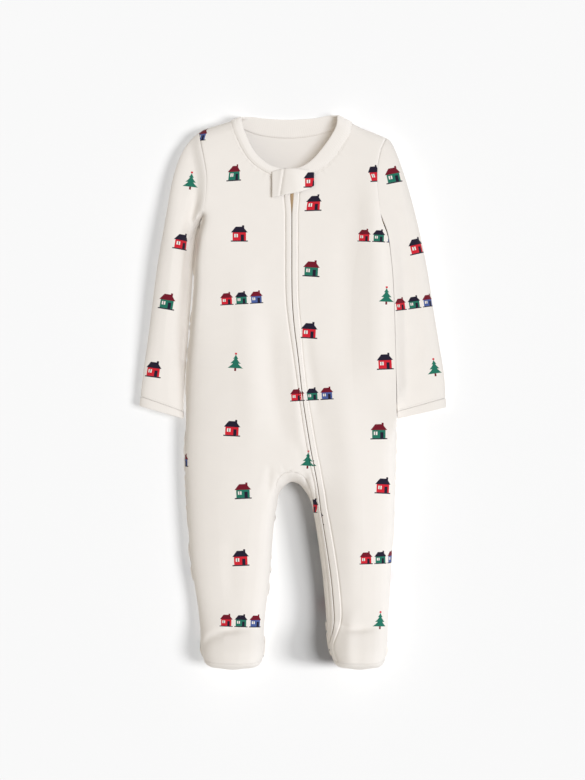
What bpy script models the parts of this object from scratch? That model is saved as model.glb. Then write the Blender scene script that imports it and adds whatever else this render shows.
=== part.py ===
"""Footed baby sleepsuit with a zip from the neck to one ankle, lying flat on its back.

The cloth is a thin wall all round.  Every outline is a short table in millimetres, seen from above:
+X is towards the wearer's left, +Y towards the neck, and the suit rests on Z = 0.  The fronts rise from
the side seams to a soft crown, the back rolls down from the same seams to the flat underside.
"""

import bpy
import bmesh
import numpy as np

MM = 0.001

# ---------------------------------------------------------------- driving sizes, in millimetres
WALL = 1.6              # knitted cotton cloth
BAND = 2.4              # doubled rib or hem
GAP = 0.4               # between pieces that are sewn together
ARMHOLE_GAP = 0.8       # wider, because the two edges are divided differently
SHOULDER_LENGTH = 40.0
ZIP_GAP = 0.35          # from the zip's centre line to each turned edge
WELT_RISE = 1.1         # the doubled, topstitched edges beside the zip stand this proud
WELT_STEP = 0.7         # over which a welt's foot climbs to its top
TAPE_WIDTH = 12.0
TAPE_THICK = 1.2
TAPE_DROP = 0.55        # from the fronts' inside down to the tape
TAPE_CLEAR = 2.4        # kept free between the tape and the inside leg seam
GUARD_THICK = 2.0
NARROW = 0.08           # a seam's outermost column, so that its rim stands square to the cloth
BACK_ROLL = 15.0        # how far in from a side seam the underside lies flat
SHOULDER_ROLL = 26.0
GUSSET_ROLL = 27.0
ARMPIT_ROLL = 20.0
EDGE_ROLL = 12.0        # within this of the outline the fronts gain a share of their height
EDGE_SHARE = 0.6
SLEEVE_STEEP = 0.5      # of that share, what is left where a sleeve has become a tube of its own
TOE_BOW = 3.5           # the fronts' ends bow this far towards the toes
HEEL_BOW = 7.0          # the back's ends bow this far in under the heels
SOLE_PUFF = 8.5
BAND_BULGE = 0.6        # the neck rib is slightly round
BAND_DROP = 1.5         # its free edge in front lies below the seam
BAND_LIFT = 0.6         # and behind it stands above
SPLIT_IN = 9.5          # from the zip to the column that runs down to the crotch
SPLIT_SWING_Y = 60.0    # where that column starts to swing over
ORIGIN = (0.03, 1.25)    # middle of the outline, seen from above
COLLECTION = "footed_baby_sleepsuit"

# ---------------------------------------------------------------- sections and outlines
# Body and legs, a row for each section:
# y, side seam right x, side seam left x, crown height, seam height, side roll
BODY_SECTIONS = (
    (310.0, -60.0, 60.0, 19.0, 12.0, 24.0),
    (285.0, -95.0, 95.0, 24.0, 12.0, 24.0),
    (262.0, -100.0, 97.0, 27.5, 12.0, 24.0),
    (230.0, -100.0, 97.0, 30.0, 12.0, 22.0),
    (195.8, -101.6, 98.8, 32.0, 12.0, 20.0),
    (174.5, -106.7, 105.0, 33.0, 12.0, 30.0),
    (146.5, -110.0, 108.9, 34.0, 12.0, 40.0),
    (116.3, -111.2, 111.2, 35.0, 12.0, 46.0),
    (69.2, -115.1, 112.8, 35.0, 12.0, 48.0),
    (21.1, -118.4, 114.0, 35.0, 12.0, 48.0),
    (-26.0, -119.6, 115.1, 35.0, 12.0, 46.0),
    (-71.9, -120.7, 115.6, 34.5, 12.0, 42.0),
    (-125.0, -118.9, 114.0, 34.0, 12.0, 36.0),
    (-158.0, -116.7, 112.6, 33.0, 12.0, 34.0),
    (-190.6, -114.0, 110.6, 32.0, 12.0, 32.0),
    (-233.0, -107.2, 108.2, 30.0, 12.0, 30.0),
    (-258.0, -104.2, 106.8, 29.0, 12.5, 28.0),
    (-269.0, -103.5, 106.2, 31.5, 14.0, 27.0),
    (-279.0, -103.2, 105.7, 38.0, 16.0, 26.0),
    (-289.0, -102.0, 104.9, 42.5, 18.0, 25.0),
    (-298.5, -99.5, 103.0, 42.0, 19.0, 24.0),
)
# Inside leg seams: y, right leg x, left leg x
INSEAMS = (
    (-114.5, -15.8, 17.5),
    (-125.7, -17.6, 21.2),
    (-143.6, -20.6, 24.8),
    (-158.1, -22.1, 27.2),
    (-186.1, -24.2, 31.1),
    (-202.9, -25.5, 33.2),
    (-222.0, -27.6, 35.0),
    (-240.0, -30.0, 36.6),
    (-265.7, -32.2, 38.4),
    (-283.6, -31.9, 40.6),
    (-298.5, -34.2, 45.0),
)
# Zip: y, slit x, welt width right, welt width left
ZIP = (
    (246.0, -1.1, 6.5, 5.8),
    (104.0, -1.1, 6.5, 5.8),
    (70.3, 2.0, 5.0, 6.2),
    (40.1, 5.9, 4.5, 4.6),
    (9.9, 9.2, 3.5, 4.7),
    (-11.4, 11.8, 3.4, 5.2),
    (-40.5, 16.3, 3.6, 5.4),
    (-64.1, 20.2, 3.4, 5.7),
    (-82.0, 23.7, 3.6, 5.8),
    (-101.0, 27.2, 3.0, 5.8),
    (-113.3, 29.0, 3.0, 6.2),
    (-131.3, 31.2, 3.0, 6.6),
    (-148.1, 34.0, 3.2, 7.0),
    (-181.1, 39.2, 3.4, 7.4),
    (-209.7, 43.0, 3.6, 7.6),
    (-241.0, 45.8, 3.8, 7.6),
    (-256.7, 46.0, 3.6, 6.6),
    (-268.0, 44.2, 2.8, 5.0),
    (-278.0, 41.2, 2.4, 4.2),
    (-285.0, 40.8, 2.4, 4.2),
    (-298.5, 45.0, 2.4, 4.2),
)
ZIP_END = -258.0        # below it the zip's line is a plain seam that meets the inside leg seam
ZIP_TOP = 236.0
STRIP_END = -278.0
CENTRE_X = -3.1
CROTCH = (-3.1, -87.6)
# Plan outlines: x, y
NOTCH = ((-19.3, -134.0), (-17.6, -125.7), (-15.8, -114.5), (-10.9, -106.6), (-2.7, -100.1),
         (7.0, -102.3), (13.4, -109.4), (18.6, -117.8), (21.8, -127.4), (23.3, -136.0))
GUSSET_SEAM_RIGHT = (CROTCH, (-11.5, -90.5), (-17.4, -98.0), (-19.0, -108.0), (-19.6, -118.0),
                     (-19.3, -134.0))
GUSSET_SEAM_LEFT = (CROTCH, (4.8, -89.2), (12.2, -93.4), (16.8, -102.1), (20.2, -112.0), (22.4, -122.0),
                    (23.3, -136.0))
ARMHOLE_RIGHT = ((-101.6, 195.8), (-98.8, 207.0), (-96.6, 221.5), (-96.0, 240.6), (-99.0, 260.0),
                 (-102.4, 276.4), (-105.0, 291.5))
ARMHOLE_LEFT = ((98.8, 195.8), (96.4, 210.3), (94.4, 231.6), (94.6, 252.0), (98.4, 271.0), (104.4, 285.4))
SHOULDER_RIGHT = ((-105.0, 291.5), (-97.2, 295.5), (-82.6, 299.9), (-68.0, 304.4))
SHOULDER_LEFT = ((104.4, 285.4), (91.0, 291.0), (76.4, 296.6), (64.1, 303.3))
NECK_SEAM_RIGHT = ((-68.0, 304.4), (-66.3, 294.3), (-58.6, 275.9), (-49.0, 260.5), (-36.7, 249.8),
                   (-21.0, 242.2), (-1.1, 238.8))
NECK_SEAM_LEFT = ((64.1, 303.3), (61.0, 287.4), (50.6, 269.2), (36.0, 252.6), (19.3, 243.0), (-1.1, 238.8))
NECK_EDGE_RIGHT = ((-58.5, 308.0), (-55.9, 294.8), (-44.4, 269.6), (-29.3, 255.3), (-15.4, 249.4),
                   (-1.1, 248.3))
NECK_EDGE_LEFT = ((50.9, 310.0), (49.4, 297.7), (42.4, 284.4), (31.4, 269.4), (20.6, 257.9), (9.4, 251.0),
                  (-1.1, 248.3))
BACK_NECK_SEAM = ((-68.0, 304.4), (-54.6, 296.5), (-33.3, 289.7), (-3.1, 287.1), (26.0, 290.4),
                  (46.4, 296.5), (64.1, 303.3))
BACK_NECK_EDGE = ((-58.5, 308.0), (-46.4, 309.0), (-30.4, 306.9), (-3.1, 305.6), (24.0, 307.3),
                  (40.7, 310.6), (50.9, 310.0))
SLEEVE_OUTER_RIGHT = ((-105.0, 291.5), (-116.2, 280.9), (-126.3, 264.1), (-134.7, 238.3), (-142.0, 198.0),
                      (-152.0, 139.8), (-161.0, 69.2), (-167.7, 21.1), (-170.7, -5.8), (-171.5, -15.0))
SLEEVE_INNER_RIGHT = ((-101.6, 195.8), (-108.4, 174.5), (-111.9, 146.5), (-113.6, 116.3), (-117.3, 69.2),
                      (-120.6, 21.1), (-122.4, -17.6), (-122.6, -28.7))
SLEEVE_OUTER_LEFT = ((104.4, 285.4), (110.2, 280.8), (116.8, 267.0), (126.8, 238.3), (135.8, 205.9),
                     (145.9, 163.3), (152.6, 127.5), (157.8, 92.7), (163.8, 56.9), (169.6, 21.1), (171.4, -6.9),
                     (171.5, -16.6))
SLEEVE_INNER_LEFT = ((98.8, 195.8), (106.9, 174.5), (111.0, 146.5), (113.4, 116.3), (115.2, 69.2),
                     (116.4, 21.1), (117.8, -19.3), (117.9, -28.7))
CUFF_SEAM = 0.965       # where the cuff is sewn on, as a share of the way from shoulder to cuff edge
# Sleeves: share of the length, crown height, seam height, outer roll, inner roll right, inner roll left
SLEEVE_SECTIONS = (
    (0.00, 31.0, 12.0, SHOULDER_ROLL, ARMPIT_ROLL, ARMPIT_ROLL),
    (0.12, 30.0, 12.0, 25.0, 22.0, 13.0),
    (0.35, 28.0, 12.0, 24.0, 24.0, 10.0),
    (0.60, 25.5, 11.0, 23.0, 23.0, 10.0),
    (0.82, 21.5, 9.5, 21.0, 20.0, 10.0),
    (1.00, 17.0, 8.0, 18.0, 17.0, 10.0),
)
# Guard over the zip's top: x, lower edge y, upper edge y, how far it stands off the front
GUARD_SECTIONS = (
    (-22.6, 217.6, 246.6, 0.5),
    (-16.0, 218.6, 248.2, 1.5),
    (-8.0, 220.2, 249.2, 4.6),
    (0.0, 221.8, 249.4, 5.2),
    (8.0, 223.6, 248.8, 4.6),
    (16.0, 226.2, 247.6, 2.6),
    (23.6, 230.6, 245.0, 1.6),
)
SLIDER = (8.0, 11.0, 2.4)
SLIDER_BEVEL = 0.7
SLIDER_LIFT = 0.55      # between the welts' tops and the slider
SLIDER_Y = 229.5

# ---------------------------------------------------------------- how finely each piece is divided
ROLL_TURNS = (0.0, 4.0, 14.0, 27.0, 43.0, 64.0, 90.0)
BACK_TURNS = (0.0, 4.0, 32.0, 62.0, 90.0)
YOKE_ROWS = (0.0, 0.03, 0.085, 0.17, 0.29, 0.44, 0.6, 0.75, 0.87, 0.95, 0.9995, 1.0)
TRUNK_Y = (195.8, 187.0, 173.0, 154.0, 131.0, 104.0, 74.0, 43.0, 12.0, -18.0, -44.0, -67.0, -87.6)
CROTCH_SHARES = (0.0, 0.1, 0.21, 0.33, 0.46, 0.6, 0.77, 0.95, 1.0)
LEG_Y = (-153.0, -175.0, -198.0, -221.0, -241.0, -256.0, -265.0, -272.0, -278.0, -285.0, -292.0, -298.5)
SHOULDER_COLUMNS = 4
MAIN_COLUMNS = 14
LEFT_COLUMNS = 13
BACK_COLUMNS = 10


# ---------------------------------------------------------------- curves
def smooth_path(points, steps=14):
    """A smooth line through the given points, as an array of closely spaced points."""
    points = np.array(points, float)
    before = np.vstack([2 * points[0] - points[1], points])
    after = np.vstack([points, 2 * points[-1] - points[-2]])
    slope = (after[1:] - before[:-1]) / 2
    share = np.linspace(0, 1, steps, endpoint=False)[:, None]
    pieces = []
    for a, b, slope_a, slope_b in zip(points[:-1], points[1:], slope[:-1], slope[1:]):
        cube, square = share ** 3, share ** 2
        pieces.append(a * (2 * cube - 3 * square + 1) + b * (3 * square - 2 * cube)
                      + slope_a * (cube - 2 * square + share) + slope_b * (cube - square))
    return np.vstack(pieces + [points[-1:]])


def share_of_length(path):
    """How far along a path each of its points is, from 0 to 1."""
    length = np.concatenate([[0], np.cumsum(np.linalg.norm(np.diff(path, axis=0), axis=1))])
    return length / length[-1]


def along(path, shares):
    """Points at the given shares of a path's length."""
    shares, length = np.atleast_1d(shares), share_of_length(path)
    return np.column_stack([np.interp(shares, length, path[:, k]) for k in range(path.shape[1])])


def read(table, column, where):
    """A column of a table that is keyed by its first column, smoothly, at the given places."""
    rows = smooth_path(sorted(table))
    return np.interp(where, rows[:, 0], rows[:, column])


def ease(value):
    value = np.clip(value, 0, 1)
    return value * value * (3 - 2 * value)


def table_path(table, column, y_from, y_to):
    """The plan line (x, y) that a table's column describes between two stations."""
    rows = smooth_path(sorted(table))[::-1]
    y = rows[:, 0]
    y = np.concatenate([[y_from], y[(y < y_from) & (y > y_to)], [y_to]])
    return np.column_stack([read(table, column, y), y])


# ---------------------------------------------------------------- the outline that the cloth rolls over
def beside(path, amount):
    """The line that runs next to a path, the given distance to its left."""
    step = np.gradient(path, axis=0)
    step /= np.linalg.norm(step, axis=1, keepdims=True)
    return path + amount * np.column_stack([-step[:, 1], step[:, 0]])


def edge(path, roll):
    """An outline edge: its plan points and, for each, how far in the cloth takes to level off."""
    return path, np.broadcast_to(np.asarray(roll, float), (len(path),))


def rise(points, edges, roll=None):
    """0 on the outline, 1 where the cloth has levelled off, following a quarter turn between."""
    lowest = np.ones(len(points))
    for path, rolls in edges:
        start, step = path[:-1], np.diff(path, axis=0)
        offset = points[:, None, :] - start[None]
        share = np.clip((offset * step).sum(2) / np.maximum((step * step).sum(1), 1e-9), 0, 1)
        distance = np.linalg.norm(offset - share[..., None] * step, axis=2)
        nearest = distance.argmin(1)
        row = np.arange(len(points))
        width = rolls[nearest] if roll is None else roll
        inward = np.clip(distance[row, nearest] / width, 0, 1)
        lowest = np.minimum(lowest, np.sqrt(1 - (1 - inward) ** 2))
    return lowest


def swell(points, edges, steep=1.0):
    """As rise, but a share of the height is gained within a short way of the outline."""
    share = EDGE_SHARE * steep
    return share * rise(points, edges, EDGE_ROLL) + (1 - share) * rise(points, edges)


def side_edge(column):
    path = table_path(BODY_SECTIONS, column, 195.8, -298.5)
    return edge(path, read(BODY_SECTIONS, 5, path[:, 1]))


def inseam_path(column):
    return table_path(INSEAMS, column, INSEAMS[2][0], -298.5)


def top_edge(shoulder, outer):
    return edge(np.vstack([smooth_path(shoulder)[::-1], smooth_path(outer)]), SHOULDER_ROLL)


TOP_RIGHT = top_edge(SHOULDER_RIGHT, SLEEVE_OUTER_RIGHT)
TOP_LEFT = top_edge(SHOULDER_LEFT, SLEEVE_OUTER_LEFT)
INSEAM_EDGE = edge(np.vstack([inseam_path(1)[::-1], smooth_path(NOTCH), inseam_path(2)]), GUSSET_ROLL)
BODY_EDGES = (TOP_RIGHT, TOP_LEFT, side_edge(1), side_edge(2), INSEAM_EDGE)


def body_front(points):
    """Height of the fronts above the surface that the suit lies on."""
    seam = read(BODY_SECTIONS, 4, points[:, 1]) + GAP / 2
    crown = read(BODY_SECTIONS, 3, points[:, 1])
    return seam + (crown - seam) * swell(points, BODY_EDGES)


def body_back(points):
    """Height of the back's underside: it rolls in from the seams and then lies flat."""
    seam = read(BODY_SECTIONS, 4, points[:, 1]) - GAP / 2
    return seam * (1 - rise(points, BODY_EDGES, BACK_ROLL))


def lift(plan, height):
    """Plan points (rows, columns, 2) with their heights added."""
    flat = plan.reshape(-1, 2)
    return np.column_stack([flat, height(flat)]).reshape(plan.shape[0], plan.shape[1], 3)


def moved_out(grid, amount):
    """A grid of points moved along its own surface's normals, which face up at its first point."""
    across, down = np.gradient(grid, axis=1), np.gradient(grid, axis=0)
    normal = np.cross(across, down)
    normal /= np.maximum(np.linalg.norm(normal, axis=2, keepdims=True), 1e-9)
    normal *= np.sign(normal[0, :, 2].sum())
    return grid + normal * np.broadcast_to(amount, grid.shape[:2])[..., None]


# ---------------------------------------------------------------- where a row's columns stand
def shares(length, count, start_roll=0.0, end_roll=0.0, turns=ROLL_TURNS):
    """Column places from 0 to 1 along a row: close together where the cloth rolls over an edge."""
    turn = 1 - np.cos(np.radians(turns))
    start = list(turn[:-1] * start_roll) if start_roll else []
    end = list(length - turn[:-1][::-1] * end_roll) if end_roll else []
    low = start_roll if start_roll else 0.0
    high = length - end_roll if end_roll else length
    middle = np.linspace(low, high, count + 1 - len(start) - len(end))
    return np.concatenate([start, middle, end]) / length


def between(start, end, places):
    return start[None] + (end - start)[None] * np.asarray(places)[:, None]


def seam_row(start, end, count, start_roll=0.0, end_roll=0.0, turns=ROLL_TURNS):
    length = np.linalg.norm(end - start)
    return between(start, end, shares(length, count, start_roll, end_roll, turns))


def yoke(bottom, top, outer, inner, rows):
    """The part above the armpit: a patch between its lowest row, the armhole, the shoulder with the
    neck seam, and its inner line."""
    place = np.linalg.norm(bottom - bottom[0], axis=1)
    place = place / place[-1]
    grid = []
    for v, left, right in zip(rows, outer, inner):
        u = (1 - v) * place + v * np.linspace(0, 1, len(place))
        low = (1 - v) * bottom + v * top
        sides = (1 - u)[:, None] * left + u[:, None] * right
        corners = (1 - v) * ((1 - u)[:, None] * bottom[0] + u[:, None] * bottom[-1])
        corners = corners + v * ((1 - u)[:, None] * top[0] + u[:, None] * top[-1])
        grid.append(low + sides - corners)
    return np.array(grid)


# ---------------------------------------------------------------- making objects
def finish_piece(name, bm, colour, thickness, outward=False, roughness=0.85):
    bm.normal_update()
    mesh = bpy.data.meshes.new(name)
    bm.to_mesh(mesh)
    bm.free()
    for vertex in mesh.vertices:
        vertex.co.x -= ORIGIN[0] * MM
        vertex.co.y -= ORIGIN[1] * MM
    mesh.shade_smooth()
    mesh.set_sharp_from_angle(angle=np.radians(50))
    piece = bpy.data.objects.new(name, mesh)
    bpy.data.collections[COLLECTION].objects.link(piece)
    material = bpy.data.materials.new(name)
    material.use_nodes = True
    shader = material.node_tree.nodes["Principled BSDF"]
    shader.inputs["Base Color"].default_value = (*colour, 1.0)
    shader.inputs["Roughness"].default_value = roughness
    shader.inputs["Metallic"].default_value = 0.0
    mesh.materials.append(material)
    if thickness:
        wall = piece.modifiers.new("wall", "SOLIDIFY")
        wall.thickness = thickness * MM
        wall.offset = 1.0 if outward else -1.0
        wall.use_rim = True
    return piece


def add_grid(bm, grid, closed=False, facing_down=False):
    """Faces between a grid's neighbouring points (rows, columns, 3); closed joins last column to first."""
    made = [[bm.verts.new(point * MM) for point in row] for row in grid]
    count = len(made[0])
    for upper, lower in zip(made[:-1], made[1:]):
        for c in range(count if closed else count - 1):
            corners = (upper[c], lower[c], lower[(c + 1) % count], upper[(c + 1) % count])
            bm.faces.new(corners[::-1] if facing_down else corners)
    return made


def weld(bm):
    bmesh.ops.remove_doubles(bm, verts=bm.verts, dist=0.01 * MM)


CREAM = (0.85, 0.80, 0.72)
TAN = (0.62, 0.49, 0.36)


# ---------------------------------------------------------------- zip lines
def slit(y):
    return np.column_stack([read(ZIP, 1, y), y])


def split_line(y):
    """Runs beside the zip and then swings over to the crotch."""
    beside = read(ZIP, 1, y) - SPLIT_IN
    swing = ease((SPLIT_SWING_Y - np.asarray(y)) / (SPLIT_SWING_Y - CROTCH[1]))
    return np.column_stack([beside + (CROTCH[0] - (read(ZIP, 1, CROTCH[1]) - SPLIT_IN)) * swing, y])


def welt_rise(y):
    """The welts' height, which dies away where the zip ends."""
    return WELT_RISE * ease((np.asarray(y) - ZIP_END + 14.0) / 14.0)


# ---------------------------------------------------------------- fronts and back
def leg_lines(outer_column, inseam_column, gusset_seam):
    """Outer and inner ends of each row below the crotch, the first rows ending on the gusset's seam."""
    inner_top = along(smooth_path(gusset_seam), CROTCH_SHARES[1:])
    outer_y = np.concatenate([np.linspace(CROTCH[1], inner_top[-1, 1], len(CROTCH_SHARES))[1:], LEG_Y])
    if outer_column is None:
        outer = slit(outer_y)
    else:
        outer = np.column_stack([read(BODY_SECTIONS, outer_column, outer_y), outer_y])
    inner = np.vstack([inner_top, np.column_stack([read(INSEAMS, inseam_column, LEG_Y), LEG_Y])])
    return outer, inner


def toe_sag(rows, depth):
    """The last rows bow towards the toe."""
    for k, weight in ((-1, 1.0), (-2, 0.6), (-3, 0.25)):
        place = np.linspace(-1, 1, rows.shape[1])
        rows[k, :, 1] -= depth * weight * (1 - place ** 4)
    return rows


def yoke_top(shoulder, neck, columns):
    """The top of half a front or back: along the shoulder, then along the neck seam."""
    over = along(smooth_path(shoulder), np.linspace(0, 1, SHOULDER_COLUMNS + 1))
    return np.vstack([over, along(neck, np.linspace(0, 1, columns - SHOULDER_COLUMNS + 1))[1:]])


def half_body(side, inner_line, neck, columns, roll=None, turns=ROLL_TURNS):
    """Plan rows of half a front or back above the crotch, from the side seam inwards."""
    trunk_y = np.array(TRUNK_Y)
    outer = np.column_stack([read(BODY_SECTIONS, side.column, trunk_y), trunk_y])
    inside = inner_line(trunk_y)
    rolls = read(BODY_SECTIONS, 5, trunk_y) if roll is None else np.full(len(trunk_y), roll)
    trunk = np.array([seam_row(a, b, columns, r, turns=turns) for a, b, r in zip(outer, inside, rolls)])
    top = yoke_top(side.shoulder, neck, columns)
    armhole = along(smooth_path(side.armhole), YOKE_ROWS)
    top[0] = along(smooth_path(side.shoulder), ARMHOLE_GAP / 2 / SHOULDER_LENGTH)[0]
    armhole[1:] += top[0] - armhole[-1]
    inner = inner_line(trunk_y[0] + (top[-1, 1] - trunk_y[0]) * np.array(YOKE_ROWS))
    inner[:, 0] += (top[-1, 0] - inner[-1, 0]) * np.array(YOKE_ROWS)
    upper = yoke(trunk[0], top, armhole, inner, YOKE_ROWS)[::-1]
    over, neck_side = top[:SHOULDER_COLUMNS + 1], top[SHOULDER_COLUMNS:]
    upper[1] = np.vstack([beside(over, side.sign * NARROW), beside(neck_side, side.sign * NARROW)[1:]])
    return np.vstack([upper[:-1], trunk])


def half_leg(outer, inner, columns, roll=None, inner_roll=GUSSET_ROLL, turns=ROLL_TURNS):
    """Plan rows of a leg from its side seam to its inside edge."""
    rows = []
    for k, (a, b) in enumerate(zip(outer, inner)):
        toward_leg = ease((k + 1) / (len(CROTCH_SHARES) - 1))
        side_roll = float(read(BODY_SECTIONS, 5, a[1])) if roll is None else roll
        open_row = seam_row(a, b, columns, side_roll, turns=turns)
        rolled = seam_row(a, b, columns, side_roll, inner_roll, turns)
        rows.append(toward_leg * rolled + (1 - toward_leg) * open_row)
    return np.array(rows)


class Side:
    """One side of the suit: its columns in the tables and its outlines."""

    def __init__(self, name, sign, column, roll_column, armhole, shoulder, neck, gusset_seam, sleeve_outer,
                 sleeve_inner):
        self.name, self.sign, self.column, self.roll_column = name, sign, column, roll_column
        self.armhole, self.shoulder, self.neck, self.gusset_seam = armhole, shoulder, neck, gusset_seam
        self.sleeve_outer, self.sleeve_inner = sleeve_outer, sleeve_inner


RIGHT = Side("right", -1, 1, 4, ARMHOLE_RIGHT, SHOULDER_RIGHT, NECK_SEAM_RIGHT, GUSSET_SEAM_RIGHT,
             SLEEVE_OUTER_RIGHT, SLEEVE_INNER_RIGHT)
LEFT = Side("left", 1, 2, 5, ARMHOLE_LEFT, SHOULDER_LEFT, NECK_SEAM_LEFT, GUSSET_SEAM_LEFT,
            SLEEVE_OUTER_LEFT, SLEEVE_INNER_LEFT)


def slit_beside(inner, neck_end):
    """The slit's points level with a front's inner column, closing up to the end of the neck seam."""
    y = inner[:, 1].copy()
    above = y >= TRUNK_Y[0]
    y[above] = TRUNK_Y[0] + (y[above] - TRUNK_Y[0]) * (neck_end[1] - TRUNK_Y[0]) / (y[0] - TRUNK_Y[0])
    return slit(y)


def welt_columns(rows, y):
    """Heights of rows that end in a welt: its last three columns are raised."""
    grid = lift(rows, body_front)
    raised = moved_out(grid, welt_rise(y)[:, None])
    grid[:, -3:] = raised[:, -3:]
    return grid


def welt_row(start, centre, gap, width):
    """A short row from a given point to the zip: plain cloth, the welt's foot, its step, its top."""
    span = abs(centre[0] - start[0])
    foot = min(width, span * 0.8)
    top = max(foot - WELT_STEP, foot * 0.7)
    places = np.array([span, span - NARROW, (span + foot) / 2, foot, top, gap + NARROW, gap])
    return start + (centre - start) * (1 - places / span)[:, None]


def front_right():
    """Right front, cut in one from neck to toe, with a narrow strip down the left leg to the zip."""
    neck = smooth_path(RIGHT.neck)
    to_split = neck[neck[:, 0] <= split_line(neck[-1:, 1])[0, 0]]
    body = half_body(RIGHT, split_line, to_split, MAIN_COLUMNS)
    outer, inner = leg_lines(1, 1, RIGHT.gusset_seam)
    leg = toe_sag(half_leg(outer, inner, MAIN_COLUMNS), TOE_BOW)
    main = lift(np.vstack([body, leg]), body_front)

    zip_side, inside = leg_lines(None, 2, LEFT.gusset_seam)
    kept = zip_side[:, 1] >= STRIP_END
    starts = np.vstack([body[:, -1], inside[kept]])
    ends = np.vstack([slit_beside(body[:, -1], neck[-1]), zip_side[kept]])
    widths = read(ZIP, 2, ends[:, 1])
    rows = np.array([welt_row(a, b, ZIP_GAP, w) for a, b, w in zip(starts, ends, widths)])
    bm = bmesh.new()
    add_grid(bm, main)
    add_grid(bm, welt_columns(rows, ends[:, 1]))
    weld(bm)
    return finish_piece("front_right", bm, CREAM, WALL)


def front_left():
    """Left front, from the zip to the side seam and down to the toe."""
    neck = smooth_path(LEFT.neck)

    def inner_line(y):
        line = slit(np.asarray(y, float))
        line[:, 0] += read(ZIP, 3, y) + 1.5
        return line

    to_welt = neck[neck[:, 0] >= inner_line(neck[-1:, 1])[0, 0]]
    body = half_body(LEFT, inner_line, to_welt, LEFT_COLUMNS)
    outer, _ = leg_lines(2, 2, LEFT.gusset_seam)
    starts = inner_line(outer[:, 1])
    leg = np.array([seam_row(a, b, LEFT_COLUMNS, start_roll=float(read(BODY_SECTIONS, 5, a[1])))
                    for a, b in zip(outer, starts)])
    main = np.vstack([body, leg])
    ends = slit_beside(main[:, -1], neck[-1])
    gaps = ZIP_GAP * ease((ends[:, 1] + 290.0) / 10.0)
    widths = read(ZIP, 3, ends[:, 1])
    rows = np.array([welt_row(a, b, gap, w) for a, b, gap, w in zip(main[:, -1], ends, gaps, widths)])
    sag = np.hstack([main, rows[:, 1:]])[len(body):]
    sag = toe_sag(sag, TOE_BOW)
    main[len(body):], rows[len(body):] = sag[:, :LEFT_COLUMNS + 1], sag[:, LEFT_COLUMNS:]
    bm = bmesh.new()
    add_grid(bm, lift(main[:, ::-1], body_front))
    add_grid(bm, welt_columns(rows, ends[:, 1])[:, ::-1])
    weld(bm)
    return finish_piece("front_left", bm, CREAM, WALL)


def back():
    """Back, cut in one from the neck to both heels."""
    bm = bmesh.new()

    def inner_line(y):
        return np.column_stack([np.full(len(y), CENTRE_X), y])

    neck = smooth_path(BACK_NECK_SEAM)
    for side, half_neck in ((RIGHT, neck[neck[:, 0] <= CENTRE_X + 0.01]),
                            (LEFT, neck[neck[:, 0] >= CENTRE_X - 0.01][::-1])):
        body = half_body(side, inner_line, half_neck, BACK_COLUMNS, BACK_ROLL, BACK_TURNS)
        outer, inner = leg_lines(side.column, side.column, side.gusset_seam)
        leg = toe_sag(half_leg(outer, inner, BACK_COLUMNS, BACK_ROLL, BACK_ROLL, BACK_TURNS), -HEEL_BOW)
        grid = lift(np.vstack([body, leg]), body_back)
        add_grid(bm, grid if side is RIGHT else grid[:, ::-1], facing_down=True)
    weld(bm)
    return finish_piece("back", bm, CREAM, WALL)


# ---------------------------------------------------------------- gusset
def gusset():
    """Crescent between the legs, wrapped from its seam on the fronts round to its seam on the back."""
    places = np.array(CROTCH_SHARES[:-1])
    notch = smooth_path(NOTCH)
    top = notch[:, 1].argmax()
    seam_points = np.vstack([along(smooth_path(GUSSET_SEAM_RIGHT), places[::-1]),
                             along(smooth_path(GUSSET_SEAM_LEFT), places[1:])])
    edge_points = np.vstack([along(notch[:top + 1][::-1], places[::-1]), along(notch[top:], places[1:])])
    width = np.linalg.norm(seam_points - edge_points, axis=1, keepdims=True)
    reach = seam_points - edge_points
    front_inset = 1 - 1.5 * GAP / np.maximum(width, 3 * GAP)
    back_inset = 1 - 3 * GAP / np.maximum(width, 6 * GAP)
    plan = [edge_points + reach * front_inset * share for share in (1.0, 0.95, 0.62, 0.36, 0.16, 0.04, 0.0)]
    under = [edge_points + reach * back_inset * share for share in (0.05, 0.3, 0.62, 0.94, 1.0)]
    grid = np.concatenate([lift(np.array(plan), body_front), lift(np.array(under), body_back)])
    bm = bmesh.new()
    add_grid(bm, grid)
    return finish_piece("gusset", bm, CREAM, WALL)


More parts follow.
